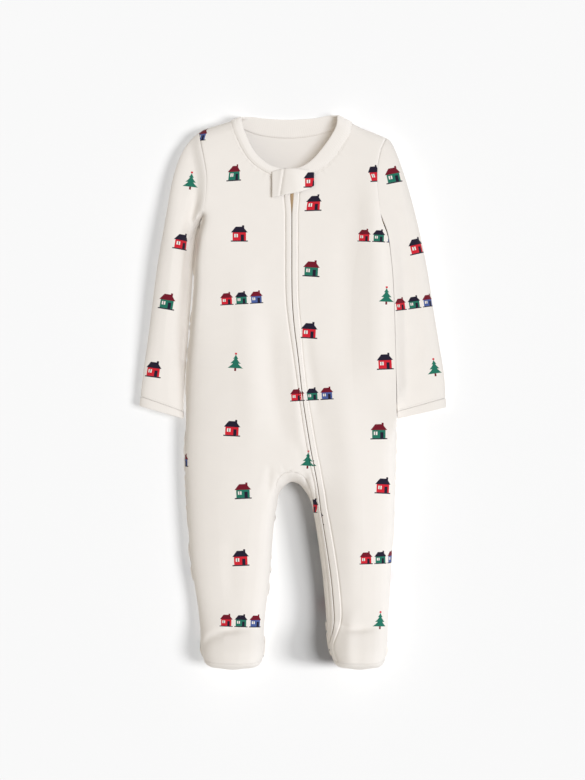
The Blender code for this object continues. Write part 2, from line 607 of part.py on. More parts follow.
# ---------------------------------------------------------------- sleeves
def sleeve_rings(side, places):
    """Rings round a sleeve at the given shares of its length."""
    outer_path, inner_path = smooth_path(side.sleeve_outer), smooth_path(side.sleeve_inner)
    armhole = smooth_path(side.armhole)[::-1]
    shoulder = smooth_path(side.shoulder)[::-1]
    outer_rolls = read(SLEEVE_SECTIONS, 3, share_of_length(outer_path))
    outer_edge = edge(np.vstack([shoulder, outer_path]),
                      np.concatenate([np.full(len(shoulder), SHOULDER_ROLL), outer_rolls]))
    inner_edge = edge(inner_path, read(SLEEVE_SECTIONS, side.roll_column, share_of_length(inner_path)))
    rings = []
    for t in places:
        start, end = along(outer_path, t)[0], along(inner_path, t)[0]
        from_armhole = 1 - ease(t / 0.3)
        seam = float(read(SLEEVE_SECTIONS, 2, t))
        ring = []
        halves = ((float(read(SLEEVE_SECTIONS, 3, t)), float(read(SLEEVE_SECTIONS, side.roll_column, t))),
                  (BACK_ROLL, BACK_ROLL))
        for half, (outer_roll, inner_roll) in enumerate(halves):
            width = np.linalg.norm(end - start)
            fit = min(1.0, 0.48 * width / max(outer_roll, inner_roll))
            place = sleeve_shares(width, outer_roll * fit, inner_roll * fit)
            place = from_armhole * (1 - np.array(YOKE_ROWS[::-1])) + (1 - from_armhole) * place
            bow = along(armhole, place) - between(armhole[0], armhole[-1], place)
            plan = between(start, end, place) + bow * (1 - ease(t / 0.06))
            crown = (from_armhole * read(BODY_SECTIONS, 3, plan[:, 1])
                     + (1 - from_armhole) * read(SLEEVE_SECTIONS, 1, t))
            if half == 0:
                steep = from_armhole + (1 - from_armhole) * SLEEVE_STEEP
                height = seam + (crown - seam) * swell(plan, (outer_edge, inner_edge), steep)
            else:
                height = seam * (1 - rise(plan, (outer_edge, inner_edge), BACK_ROLL))
            points = np.column_stack([plan, height])
            if t < 0.005:
                points[:, 0] += side.sign * ARMHOLE_GAP / 2
            ring.extend(points if half == 0 else points[::-1][1:-1])
        rings.append(ring)
    return np.array(rings)


def sleeve_shares(width, outer_roll, inner_roll):
    """Column places across a sleeve, close together at both of its edges, as many as a yoke has rows."""
    turn = 1 - np.cos(np.radians((0.0, 22.0, 45.0, 68.0)))
    start, end = turn * outer_roll, width - turn[::-1] * inner_roll
    middle = np.linspace(start[-1], end[0], len(YOKE_ROWS) - 6)
    return np.concatenate([start[:-1], middle, end[1:]]) / width


def sleeve(side):
    places = np.concatenate([[0.0012, 0.03, 0.06], np.linspace(0.09, CUFF_SEAM, 12)])
    bm = bmesh.new()
    add_grid(bm, sleeve_rings(side, places), closed=True, facing_down=side is LEFT)
    return finish_piece("sleeve_" + side.name, bm, CREAM, WALL)


def cuff(side):
    places = np.linspace(CUFF_SEAM + 0.0015, 1.0, 3)
    bm = bmesh.new()
    add_grid(bm, sleeve_rings(side, places), closed=True, facing_down=side is LEFT)
    return finish_piece("cuff_" + side.name, bm, CREAM, BAND)


# ---------------------------------------------------------------- neck
def neck_band():
    """Doubled rib round the neck, open at the zip."""
    front_places = 1 - np.cos(np.radians(np.linspace(0, 90, 12)))
    back_places = ((1 - np.cos(np.radians(np.linspace(0, 180, 18)))) / 2)[1:-1]
    stretches = ((NECK_SEAM_RIGHT, NECK_EDGE_RIGHT, front_places[::-1], body_front),
                 (BACK_NECK_SEAM, BACK_NECK_EDGE, back_places, body_back),
                 (NECK_SEAM_LEFT, NECK_EDGE_LEFT, front_places, body_front))
    seams, edges = [], []
    for seam, free, places, height in stretches:
        points = along(smooth_path(seam), places)
        seams.append(np.column_stack([points, height(points)]))
        edges.append(along(smooth_path(free), places))
    seams, edges = np.vstack(seams), np.vstack(edges)
    for end, sign in ((0, -1), (-1, 1)):
        seams[end, 0] += sign * ZIP_GAP
        edges[end, 0] += sign * ZIP_GAP
    in_front = ease((seams[:, 2] - 11.0) / 10.0)
    edge_height = seams[:, 2] - BAND_DROP * in_front + BAND_LIFT * (1 - in_front)
    free = np.column_stack([edges, edge_height])
    step = free - seams
    near_shoulder = np.exp(-((seams[:, 2:] - 9.0) / 7.0) ** 2)
    gap = (1.4 + 3.6 * near_shoulder) * GAP
    seams = seams + step * (gap / np.linalg.norm(step, axis=1, keepdims=True))
    seams[:, 2] = np.maximum(seams[:, 2], 0.3)
    across = (0.0, 0.25, 0.5, 0.75, 1.0)
    grid = np.array([seams + (free - seams) * share for share in across])
    bulge = BAND_BULGE * np.sin(np.pi * np.array(across))[:, None] * in_front[None]
    grid = moved_out(grid, bulge)
    bm = bmesh.new()
    add_grid(bm, grid)
    return finish_piece("neck_band", bm, CREAM, BAND)


# ---------------------------------------------------------------- zip
def zip_tape():
    """The zip's tape under the slit, from the neck to the left ankle."""
    y = np.linspace(ZIP_TOP, ZIP_END, 36)
    centre = slit(y)
    beside_leg = centre[:, 0] - read(INSEAMS, 2, y) - TAPE_CLEAR
    room = np.where(y < NOTCH[-1][1] + 16.0, beside_leg, TAPE_WIDTH / 2)
    right_half = np.minimum(TAPE_WIDTH / 2, room)
    plan = np.stack([centre - [1, 0] * right_half[:, None], centre, centre + [TAPE_WIDTH / 2, 0]], axis=1)
    grid = moved_out(lift(plan, body_front), -(WALL + TAPE_DROP))
    bm = bmesh.new()
    add_grid(bm, grid)
    return finish_piece("zip_tape", bm, TAN, TAPE_THICK)


def zip_slider():
    """Slider at the top of its travel, resting on the two welts under the guard."""
    place = slit(np.array([SLIDER_Y]))
    base = float(body_front(place)[0]) + WELT_RISE + SLIDER_LIFT
    bm = bmesh.new()
    bmesh.ops.create_cube(bm, size=1.0)
    bmesh.ops.scale(bm, vec=np.array(SLIDER) * MM, verts=bm.verts)
    centre = (place[0, 0], place[0, 1], base + SLIDER[2] / 2)
    bmesh.ops.translate(bm, vec=np.array(centre) * MM, verts=bm.verts)
    bmesh.ops.bevel(bm, geom=bm.edges, offset=SLIDER_BEVEL * MM, segments=2, profile=0.5, affect="EDGES",
                    material=-1)
    return finish_piece("zip_slider", bm, (0.80, 0.77, 0.70), 0.0, roughness=0.4)


def zip_guard():
    """Folded tab over the zip's top: the front's own points, moved out, with room for the slider."""
    table = np.array(GUARD_SECTIONS)
    rows = []
    for share in np.linspace(1, 0, 6):
        rows.append(np.column_stack([table[:, 0], table[:, 1] + (table[:, 2] - table[:, 1]) * share]))
    grid = moved_out(lift(np.array(rows), body_front), table[None, :, 3])
    bm = bmesh.new()
    add_grid(bm, grid)
    return finish_piece("zip_guard", bm, CREAM, GUARD_THICK, outward=True)


# ---------------------------------------------------------------- soles
def sole(side):
    """Oval that closes the toe end of a leg, puffed a little outwards."""
    end_y = LEG_Y[-1]
    outer = np.array([read(BODY_SECTIONS, side.column, end_y), end_y])
    inner = np.array([read(INSEAMS, side.column, end_y), end_y])
    roll = float(read(BODY_SECTIONS, 5, end_y))
    count = 14
    upper = seam_row(outer, inner, count, roll, GUSSET_ROLL)
    lower = seam_row(outer, inner, count, BACK_ROLL, BACK_ROLL)
    place = np.linspace(-1, 1, count + 1)
    upper[:, 1] -= TOE_BOW * (1 - place ** 4)
    lower[:, 1] += HEEL_BOW * (1 - place ** 4)
    top = np.column_stack([upper, body_front(upper)])
    bottom = np.column_stack([lower, np.maximum(body_back(lower), 1.6)])
    down = np.linspace(0, 1, 8)
    grid = np.array([top + (bottom - top) * share for share in down])
    puff = SOLE_PUFF * np.sin(np.pi * down)[:, None] ** 0.7 * np.sin(np.pi * (place + 1) / 2)[None] ** 0.6
    grid[:, :, 1] -= 1.2 * GAP + puff
    bm = bmesh.new()
    add_grid(bm, grid if side is RIGHT else grid[:, ::-1])
    return finish_piece("sole_" + side.name, bm, CREAM, WALL, outward=True)


def build():
    for old in list(bpy.data.objects):
        bpy.data.objects.remove(old)
    collection = bpy.data.collections.new(COLLECTION)
    bpy.context.scene.collection.children.link(collection)
    front_right()
    front_left()
    back()
    gusset()
    for side in (RIGHT, LEFT):
        sleeve(side)
        cuff(side)
        sole(side)
    neck_band()
    zip_tape()
    zip_slider()
    zip_guard()


build()
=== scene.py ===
import math
import bmesh
import bpy
import numpy as np
from bpy.props import FloatProperty, FloatVectorProperty, PointerProperty
from mathutils import Matrix, Vector

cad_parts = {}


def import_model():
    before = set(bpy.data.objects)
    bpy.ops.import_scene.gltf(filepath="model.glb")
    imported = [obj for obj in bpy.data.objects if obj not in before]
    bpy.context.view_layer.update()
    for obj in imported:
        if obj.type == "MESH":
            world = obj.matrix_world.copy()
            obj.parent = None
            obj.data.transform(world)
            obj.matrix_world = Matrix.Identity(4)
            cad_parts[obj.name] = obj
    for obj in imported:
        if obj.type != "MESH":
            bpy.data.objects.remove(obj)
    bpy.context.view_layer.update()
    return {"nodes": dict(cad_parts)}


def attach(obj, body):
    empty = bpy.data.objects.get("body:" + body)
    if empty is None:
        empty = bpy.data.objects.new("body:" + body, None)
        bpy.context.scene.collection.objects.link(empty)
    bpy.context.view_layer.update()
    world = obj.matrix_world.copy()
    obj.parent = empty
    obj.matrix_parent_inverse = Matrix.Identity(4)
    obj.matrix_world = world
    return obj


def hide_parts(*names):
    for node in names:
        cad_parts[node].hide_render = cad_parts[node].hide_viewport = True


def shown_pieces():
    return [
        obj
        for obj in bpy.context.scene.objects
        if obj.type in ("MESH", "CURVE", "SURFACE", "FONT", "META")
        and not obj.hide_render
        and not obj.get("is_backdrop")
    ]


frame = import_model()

bl_info = {
    "name": "Footed Sleepsuit",
    "version": (1, 0),
    "blender": (4, 5, 0),
    "location": "View3D > Sidebar > Sleepsuit",
    "description": "Dresses a footed baby sleepsuit laid flat: printed knit, zip, ribs, seams and stitching",
    "category": "Object",
}

MM = 0.001
ORIGIN = (0.03, 1.25)

# ---------------------------------------------------------------- sizes that the solids share, in millimetres
CLOTH_THICK = 1.3
TAPE_THICK = 0.9
GUARD_THICK = 2.0
NECK_HALF = 1.15         # half the thickness of the folded neck band
CUFF_HALF = 1.1
CUFF_TUCK = 0.35         # how far the cuff's seam is drawn in
FOLDED_EDGE = np.radians((30, 60, 90, 120, 150))     # steps of the turn round a folded edge
SEAM_TUCK = 0.3          # how far a sewn border is drawn in
SEAM_REACH = 1.2
LOWEST = 0.02            # least height of any cloth over the floor
FOLD_FADE = 1.6          # folds are at their full depth where the cloth has levelled off by 1 / 1.6
ARMPIT_Y = 195.8
TOE_Y = -298.5
BACK_ROLL = 15.0
SHOULDER_ROLL = 26.0
GUSSET_ROLL = 27.0
ARMPIT_ROLL = 20.0
EDGE_ROLL = 12.0
EDGE_SHARE = 0.6
SLEEVE_STEEP = 0.5
# Right sleeve beside the body: share of its inner edge, how far in from it the sleeve starts to rise
SLEEVE_INSETS = ((0.0, 0.0), (0.02, 1.5), (0.06, 4.0), (0.12, 6.5), (0.25, 7.0), (0.42, 6.0), (0.62, 5.5),
                 (0.78, 2.0),
                 (1.0, 0.0))
SLEEVE_STEP = 8.0        # how far the right sleeve drops beside its armhole
SLEEVE_STEP_WAY = 12.0   # and over what distance
SLEEVE_TOP = 0.3         # share of a sleeve's length over which it leaves the armhole's shape
VALLEY_SHARE = 0.93      # share of the seam's height that the right sleeve loses beside the body
VALLEY_HALF = 9.0
SLEEVE_PRINT = {"right": 15.0, "left": 20.0}     # moves the print across each sleeve
BESIDE_BODY = 13.0
LEG_ROLL_LEFT = 46.0
# Side seams: y, share of the height gained at once, the way that takes, how much wider the roll is
SIDE_STEEP_RIGHT = (
    (-298.5, 0.2, 12.0, 2.0),
    (-60.0, 0.1, 12.0, 2.0),
    (20.0, 0.2, 10.0, 1.7),
    (100.0, 0.75, 8.0, 1.2),
    (195.8, 0.88, 7.0, 1.0),
)
SIDE_STEEP_LEFT = (
    (-298.5, 0.6, 12.0, 1.0),
    (-60.0, 0.6, 12.0, 1.0),
    (-30.0, 1.0, 0.15, 1.0),
    (195.8, 1.0, 0.15, 1.0),
)
TOE_BOW = 3.5
TOE_ROWS = 14            # rows over which the legs' ends come to their bow
HEEL_BOW = 7.0
SOLE_PUFF = 11.5
SPLIT_IN = 9.5
SPLIT_SWING_Y = 60.0
SPLIT_OUT = 3.0          # from the foot of the left welt to the front's last plain column
# Welts, by their column in the zip's table: how proud they stand, and the groove at their foot
WELT_RISE = {2: 0.6, 3: 0.2}
WELT_GROOVE = {2: 0.65, 3: 0.95}
WELT_LIP = 1.3           # width of the turned edge's rounding
LIP_DROP = 0.6
LIP_PLACES = np.concatenate([np.linspace(0, WELT_LIP, 6),
                             np.linspace(1.7, 2.9, 4)])     # in from the turned edge
FOOT_PLACES = np.array([-2.0, -1.6, -1.3, -1.0, -0.5, -0.2, 0.1, 0.4, 0.7, 1.1,
                        1.6])    # either side of the foot
PLAIN_WELT = 5.5         # narrower welts have these places closer together
SLIT_HALF = 0.3          # from the zip's middle to each turned edge
SLIT_SPREAD = 1.5        # how much more it is under the guard
SPREAD_Y = 196.0         # where the slit starts to spread
SPREAD_WAY = 26.0
STRIP_LAST_Y = -284.0    # where the strip beside the zip ends
TEETH_APART = 1.4
GUARD_FOLD_X = -12.6
SOLE_COLUMNS = 44
SOLE_ROWS = 26
SOLE_WIDTH = 65.0
SOLE_PRINT = -44.0       # moves the print along each sole
RIB_PLACE = (92.0, -10.0)     # where the cuffs' cloth map starts
GUARD_ROWS = 30
SHOULDER_LAP = (62.0, 294.0)  # where the neck band laps further over the front
LEFT_LEG = ("front_cloth_left", "sole_cloth_left", "gusset_cloth")
IN_NECK = ("back_cloth", "neck_band_cloth")
# In metres
GUSSET_CUT = (0.085, 0.075)
FLOOR_HALF = 4.0

# Body and legs, a row for each section:
# y, side seam right x, side seam left x, crown height, seam height, side roll
BODY_SECTIONS = (
    (310.0, -60.0, 60.0, 19.0, 12.0, 24.0),
    (285.0, -95.0, 95.0, 24.0, 12.0, 24.0),
    (262.0, -100.0, 97.0, 27.5, 12.0, 24.0),
    (230.0, -100.0, 97.0, 30.0, 12.0, 22.0),
    (195.8, -101.6, 98.8, 32.0, 12.0, 20.0),
    (174.5, -106.7, 106.0, 33.0, 12.0, 30.0),
    (146.5, -110.0, 110.0, 34.0, 12.0, 40.0),
    (116.3, -111.2, 112.3, 35.0, 12.0, 46.0),
    (69.2, -115.1, 114.0, 35.0, 12.0, 48.0),
    (21.1, -118.4, 115.2, 35.0, 12.0, 48.0),
    (-26.0, -119.6, 115.8, 35.0, 12.0, 46.0),
    (-71.9, -120.7, 115.6, 34.5, 12.0, 42.0),
    (-125.0, -118.9, 114.0, 34.0, 12.0, 36.0),
    (-158.0, -116.7, 112.6, 33.0, 12.0, 34.0),
    (-190.6, -114.0, 110.6, 32.0, 12.0, 32.0),
    (-233.0, -107.2, 108.2, 30.0, 12.0, 30.0),
    (-258.0, -104.2, 106.8, 32.5, 12.5, 28.0),
    (-269.0, -103.5, 106.2, 36.0, 14.0, 27.0),
    (-279.0, -103.2, 105.7, 39.5, 16.0, 26.0),
    (-289.0, -102.0, 104.9, 42.0, 18.0, 25.0),
    (-298.5, -99.5, 103.0, 42.0, 19.0, 24.0),
)
# Inside leg seams: y, right leg x, left leg x
INSEAMS = (
    (-114.5, -15.8, 17.5),
    (-125.7, -17.6, 21.2),
    (-143.6, -20.6, 24.8),
    (-158.1, -22.1, 27.2),
    (-186.1, -24.2, 31.1),
    (-202.9, -25.5, 33.2),
    (-222.0, -27.6, 35.0),
    (-240.0, -30.0, 36.6),
    (-265.7, -32.2, 38.4),
    (-283.6, -31.9, 40.6),
    (-298.5, -34.2, 45.0),
)
# Zip: y, slit x, welt width right, welt width left
ZIP = (
    (246.0, -1.1, 6.5, 5.8),
    (175.0, -1.1, 6.5, 5.8),
    (130.0, -1.1, 6.5, 5.8),
    (104.0, -0.7, 6.2, 5.9),
    (86.0, 0.5, 5.6, 6.1),
    (70.3, 2.0, 5.0, 6.2),
    (40.1, 5.9, 4.5, 4.6),
    (9.9, 9.2, 3.5, 4.7),
    (-11.4, 11.8, 3.4, 5.2),
    (-40.5, 16.3, 3.6, 5.4),
    (-64.1, 20.2, 3.4, 5.7),
    (-82.0, 23.7, 3.6, 5.8),
    (-101.0, 27.2, 3.0, 5.8),
    (-113.3, 29.0, 3.0, 6.2),
    (-131.3, 31.2, 3.0, 6.6),
    (-148.1, 34.0, 3.2, 7.0),
    (-181.1, 39.2, 3.4, 7.4),
    (-209.7, 43.0, 3.6, 7.6),
    (-241.0, 45.8, 3.8, 7.6),
    (-256.7, 46.0, 3.6, 6.6),
    (-268.0, 44.2, 2.8, 5.0),
    (-278.0, 41.2, 2.4, 4.2),
    (-285.0, 40.8, 2.4, 4.2),
    (-298.5, 45.0, 2.4, 4.2),
)
ZIP_END = -258.0        # below it the zip's line is a plain seam that meets the inside leg seam
ZIP_TOP = 236.0
CENTRE_X = -3.1
CROTCH = (-3.1, -87.6)
# Plan outlines: x, y
NOTCH = ((-19.3, -134.0), (-17.6, -125.7), (-15.8, -114.5), (-10.9, -106.6), (-2.7, -100.1),
         (7.0, -102.3), (13.4, -109.4), (18.6, -117.8), (21.8, -127.4), (23.3, -136.0))
GUSSET_SEAM_RIGHT = (CROTCH, (-11.5, -90.5), (-17.4, -98.0), (-19.0, -108.0), (-19.6, -118.0),
                     (-19.3, -134.0))
GUSSET_SEAM_LEFT = (CROTCH, (4.8, -89.2), (12.2, -93.4), (16.8, -102.1), (20.2, -112.0), (22.4, -122.0),
                    (23.3, -136.0))
ARMHOLE_RIGHT = ((-101.6, 195.8), (-98.8, 207.0), (-96.6, 221.5), (-96.0, 240.6), (-99.0, 260.0),
                 (-102.4, 276.4), (-105.0, 291.5))
ARMHOLE_LEFT = ((98.8, 195.8), (96.4, 210.3), (94.4, 231.6), (94.6, 252.0), (98.4, 271.0), (104.4, 285.4))
SHOULDER_RIGHT = ((-105.0, 291.5), (-97.2, 295.5), (-82.6, 299.9), (-68.0, 304.4))
SHOULDER_LEFT = ((104.4, 285.4), (91.0, 291.0), (76.4, 296.6), (64.1, 303.3))
NECK_SEAM_RIGHT = ((-68.0, 304.4), (-66.3, 294.3), (-58.6, 275.9), (-49.0, 260.5), (-36.7, 249.8),
                   (-21.0, 242.2), (-1.1, 238.8))
NECK_SEAM_LEFT = ((64.1, 303.3), (61.0, 287.4), (50.6, 269.2), (36.0, 252.6), (19.3, 243.0), (-1.1, 238.8))
NECK_EDGE_RIGHT = ((-58.5, 308.0), (-55.9, 294.8), (-44.4, 269.6), (-29.3, 255.3), (-15.4, 249.4),
                   (-1.1, 248.3))
NECK_EDGE_LEFT = ((50.9, 310.0), (49.4, 297.7), (42.4, 284.4), (31.4, 269.4), (20.6, 257.9), (9.4, 251.0),
                  (-1.1, 248.3))
BACK_NECK_SEAM = ((-68.0, 304.4), (-54.6, 296.5), (-33.3, 289.7), (-3.1, 287.1), (26.0, 290.4),
                  (46.4, 296.5), (64.1, 303.3))
BACK_NECK_EDGE = ((-58.5, 308.0), (-46.4, 309.0), (-30.4, 306.9), (-3.1, 305.6), (24.0, 307.3),
                  (40.7, 310.6), (50.9, 310.0))
SLEEVE_OUTER_RIGHT = ((-105.0, 291.5), (-116.2, 280.9), (-126.3, 264.1), (-134.7, 238.3), (-142.0, 198.0),
                      (-152.0, 139.8), (-161.0, 69.2), (-167.7, 21.1), (-170.7, -5.8), (-171.5, -15.0))
SLEEVE_INNER_RIGHT = ((-101.6, 195.8), (-108.4, 174.5), (-111.9, 146.5), (-113.6, 116.3), (-117.3, 69.2),
                      (-120.6, 21.1), (-122.4, -17.6), (-122.6, -28.7))
SLEEVE_OUTER_LEFT = ((104.4, 285.4), (110.2, 280.8), (116.8, 267.0), (126.8, 238.3), (135.8, 205.9),
                     (145.9, 163.3), (152.6, 127.5), (157.8, 92.7), (163.8, 56.9), (169.6, 21.1),
                     (171.4, -6.9),
                     (171.5, -16.6))
SLEEVE_INNER_LEFT = ((98.8, 195.8), (106.0, 174.5), (110.0, 146.5), (112.3, 116.3), (114.0, 69.2),
                     (115.2, 21.1), (117.0, -19.3), (117.9, -28.7))
CUFF_SEAM = 0.965       # where the cuff is sewn on, as a share of the way from shoulder to cuff edge
# Sleeves: share of the length, crown height, seam height, outer roll, inner roll right, inner roll left
SLEEVE_SECTIONS = (
    (0.00, 31.0, 12.0, SHOULDER_ROLL, ARMPIT_ROLL, ARMPIT_ROLL),
    (0.12, 30.0, 12.0, 25.0, 22.0, 13.0),
    (0.35, 28.0, 12.0, 24.0, 24.0, 10.0),
    (0.60, 25.5, 11.0, 23.0, 23.0, 10.0),
    (0.82, 21.5, 9.5, 21.0, 20.0, 10.0),
    (1.00, 17.0, 8.0, 18.0, 17.0, 10.0),
)

# Guard over the zip's top: x, lower edge y, upper edge y, how far it stands off the front
GUARD_SECTIONS = (
    (-22.6, 217.6, 246.6, 0.6),
    (-21.4, 217.7, 246.8, 0.9),
    (-16.0, 218.6, 248.2, 2.0),
    (-8.0, 220.2, 249.2, 4.4),
    (0.0, 221.8, 249.4, 5.0),
    (8.0, 223.6, 248.8, 4.4),
    (16.0, 226.2, 247.6, 2.4),
    (23.6, 230.6, 245.0, 1.0),
)
# Soft folds of the fronts and sleeves: line, depth (down is negative), half width
FOLDS = (
    (((-105.0, 232.0), (-110.0, 210.0), (-116.0, 182.0), (-119.0, 150.0)), -4.5, 6.0),
    (((-166.5, 36.5), (-158.0, 28.0), (-148.7, 19.9)), -1.8, 3.6),
    (((-163.0, 30.0), (-156.0, 22.5), (-147.0, 14.0)), 0.8, 3.6),
    (((112.3, 280.9), (110.0, 231.6), (124.6, 168.9), (133.6, 115.1), (142.5, 61.4), (133.6, 31.1),
      (127.9, -2.5)),
     -2.0, 7.5),
    (((12.5, 90.0), (17.0, 40.0), (24.9, -8.1), (30.0, -40.0)), -1.6, 7.0),
    (((86.0, 270.0), (89.0, 200.0), (92.0, 120.0), (92.0, 40.0), (92.0, -30.0)), 4.0, 13.0),
    (((58.0, 200.0), (60.0, 100.0), (58.0, 0.0)), -1.2, 14.0),
    (((-54.0, 170.0), (-50.0, 60.0), (-46.0, -20.0), (-44.0, -90.0)), 1.8, 15.0),
    (((-26.0, 100.0), (-24.0, 30.0), (-18.0, -15.0), (-8.0, -50.0), (2.0, -74.0)), -1.9, 11.0),
    (((-3.0, 70.0), (4.0, 0.0), (10.0, -45.0), (19.0, -100.0), (26.0, -150.0)), 1.4, 7.0),
    (((-24.7, -78.0), (-27.3, -101.9), (-26.6, -120.0)), -1.4, 4.0),
    (((5.0, -50.0), (7.9, -64.1), (11.5, -79.1), (14.8, -93.2), (15.7, -106.3), (17.5, -114.0)), -2.8, 3.2),
    (((-102.0, -292.0), (-97.0, -278.0), (-84.0, -268.5), (-68.0, -264.5), (-50.0, -266.0)), -3.2, 3.4),
    (((46.0, -256.0), (60.0, -262.5), (75.0, -263.5), (92.0, -260.0)), -3.2, 3.8),
    (((46.0, 60.0), (54.0, 0.0), (62.0, -60.0), (68.0, -130.0), (72.0, -200.0), (72.0, -290.0)), 3.6, 20.0),
    (((70.0, -232.0), (64.0, -258.0), (62.0, -285.0), (64.0, -325.0)), 2.4, 9.0),
    (((-66.0, -150.0), (-70.0, -200.0), (-66.0, -240.0)), -0.8, 9.0),
    (((70.0, -150.0), (76.0, -200.0), (74.0, -240.0)), -0.8, 9.0),
)
# Soft folds of the back
BACK_FOLDS = (
    (((-70.0, 150.0), (-40.0, 60.0), (-50.0, -60.0)), 0.7, 10.0),
    (((60.0, 180.0), (70.0, 60.0), (55.0, -90.0)), 0.7, 10.0),
)


# ---------------------------------------------------------------- curves
def smooth_path(points, steps=6):
    """A smooth line through the given points."""
    points = np.array(points, float)
    before = np.vstack([2 * points[0] - points[1], points])
    after = np.vstack([points, 2 * points[-1] - points[-2]])
    slope = (after[1:] - before[:-1]) / 2
    share = np.linspace(0, 1, steps, endpoint=False)[:, None]
    pieces = []
    for a, b, slope_a, slope_b in zip(points[:-1], points[1:], slope[:-1], slope[1:]):
        cube, square = share ** 3, share ** 2
        pieces.append(a * (2 * cube - 3 * square + 1) + b * (3 * square - 2 * cube)
                      + slope_a * (cube - 2 * square + share) + slope_b * (cube - square))
    return np.vstack(pieces + [points[-1:]])


def lengths(path):
    """How far along a path each of its points is, in millimetres."""
    return np.concatenate([[0], np.cumsum(np.linalg.norm(np.diff(path, axis=0), axis=1))])


def along(path, shares):
    """Points at the given shares of a path's length."""
    shares, length = np.atleast_1d(shares), lengths(path)
    return np.column_stack([np.interp(shares, length / length[-1], path[:, k]) for k in range(path.shape[1])])


def read(table, column, where):
    """A column of a table that is keyed by its first column, smoothly, at the given places."""
    rows = smooth_path(sorted(table), 14)
    return np.interp(where, rows[:, 0], rows[:, column])


def ease(value):
    """From 0 to 1 with a slow start and end, and level outside."""
    value = np.clip(value, 0, 1)
    return value * value * (3 - 2 * value)


def hump(distance, width):
    """1 at no distance, falling to nought on both sides."""
    return np.exp(-(distance / width) ** 2)


def table_path(table, column, y_from, y_to):
    """The plan line (x, y) that a table's column describes between two stations."""
    rows = smooth_path(sorted(table))[::-1]
    y = rows[:, 0]
    y = np.concatenate([[y_from], y[(y < y_from) & (y > y_to)], [y_to]])
    return np.column_stack([read(table, column, y), y])


def nearest(points, path):
    """For each plan point: its distance to a path, the nearest segment, and how far along the path it is."""
    start, step = path[:-1], np.diff(path, axis=0)
    square, length = np.maximum((step * step).sum(1), 1e-9), lengths(path)
    distance, segment, place = np.empty(len(points)), np.empty(len(points), int), np.empty(len(points))
    for low in range(0, len(points), 4000):
        offset = points[low:low + 4000, None, :] - start[None]
        share = np.clip((offset * step).sum(2) / square, 0, 1)
        gap = np.linalg.norm(offset - share[..., None] * step, axis=2)
        best, row = gap.argmin(1), np.arange(len(gap))
        distance[low:low + 4000], segment[low:low + 4000] = gap[row, best], best
        place[low:low + 4000] = length[best] + share[row, best] * (length[best + 1] - length[best])
    return distance, segment, place


# ---------------------------------------------------------------- the outline that the cloth rolls over
def edge(path, roll, share=EDGE_SHARE, short=EDGE_ROLL, inset=0.0):
    """An outline: past the inset, a share of the height is gained in a short way, the rest in the roll."""
    return [path] + [np.broadcast_to(np.asarray(value, float),
                                     (len(path),)) for value in (roll, share, short, inset)]


def quarter(inward):
    """Height of a quarter turn, from 0 on the outline to 1."""
    return np.sqrt(1 - (1 - np.clip(inward, 0, 1)) ** 2)


def rise(points, edges, roll):
    """0 on the outline, 1 where the cloth has levelled off, following a quarter turn of one size between."""
    return quarter(np.min([nearest(points, path)[0] for path, *_ in edges], axis=0) / roll)


def swell(points, edges):
    """0 on the outline, 1 where the cloth has levelled off, with each outline's own shares and rolls."""
    lowest = np.ones(len(points))
    for path, rolls, shares, shorts, insets in edges:
        distance, at, _ = nearest(points, path)
        distance = distance - insets[at]
        up = shares[at] * quarter(distance / shorts[at]) + (1 - shares[at]) * quarter(distance / rolls[at])
        lowest = np.minimum(lowest, up)
    return lowest


def side_edge(column, table):
    """A side seam, with its steepness from a table."""
    path = table_path(BODY_SECTIONS, column, ARMPIT_Y, TOE_Y)
    y = path[:, 1]
    share, short, wider = [np.interp(y, *zip(*[(row[0], row[k]) for row in table])) for k in (1, 2, 3)]
    return edge(path, read(BODY_SECTIONS, 5, y) * wider, share, short)


def inseam_edge():
    """The inside of the legs and the notch between them; the left leg rolls over more widely."""
    path = np.vstack([inseam_path(1)[::-1], smooth_path(NOTCH), inseam_path(2)])
    left = ease(path[:, 0] / 20.0)
    return edge(path, GUSSET_ROLL + (LEG_ROLL_LEFT - GUSSET_ROLL) * left, EDGE_SHARE - 0.35 * left)


def inseam_path(column):
    return table_path(INSEAMS, column, INSEAMS[2][0], TOE_Y)


def top_edge(shoulder, outer):
    return edge(np.vstack([smooth_path(shoulder)[::-1], smooth_path(outer)]), SHOULDER_ROLL)


TOP_RIGHT = top_edge(SHOULDER_RIGHT, SLEEVE_OUTER_RIGHT)
TOP_LEFT = top_edge(SHOULDER_LEFT, SLEEVE_OUTER_LEFT)
BODY_EDGES = (TOP_RIGHT, TOP_LEFT, side_edge(1, SIDE_STEEP_RIGHT), side_edge(2, SIDE_STEEP_LEFT),
              inseam_edge())

# Seams that dip into the cloth: line, depth, half width, pucker, pucker length
SEAMS = (
    (smooth_path(ARMHOLE_RIGHT), 0.22, 1.7, 0.12, 9.0),
    (smooth_path(ARMHOLE_LEFT), 0.22, 1.7, 0.12, 8.0),
    (smooth_path(GUSSET_SEAM_RIGHT), 0.25, 1.4, 0.35, 7.0),
    (smooth_path(GUSSET_SEAM_LEFT), 0.25, 1.4, 0.3, 7.5),
)
NECK_SEAMS = (
    (smooth_path(NECK_SEAM_RIGHT), 0.25, 1.4, 0.14, 8.0),
    (smooth_path(NECK_SEAM_LEFT), 0.25, 1.4, 0.14, 8.5),
)


def folds(points, table):
    """Height that soft folds add at plan points."""
    height = np.zeros(len(points))
    for line, depth, width in table:
        path = smooth_path(line)
        distance, _, place = nearest(points, path)
        total = lengths(path)[-1]
        fade = ease(place / (0.3 * total)) * ease((total - place) / (0.3 * total))
        height += depth * fade * hump(distance, width)
    return height


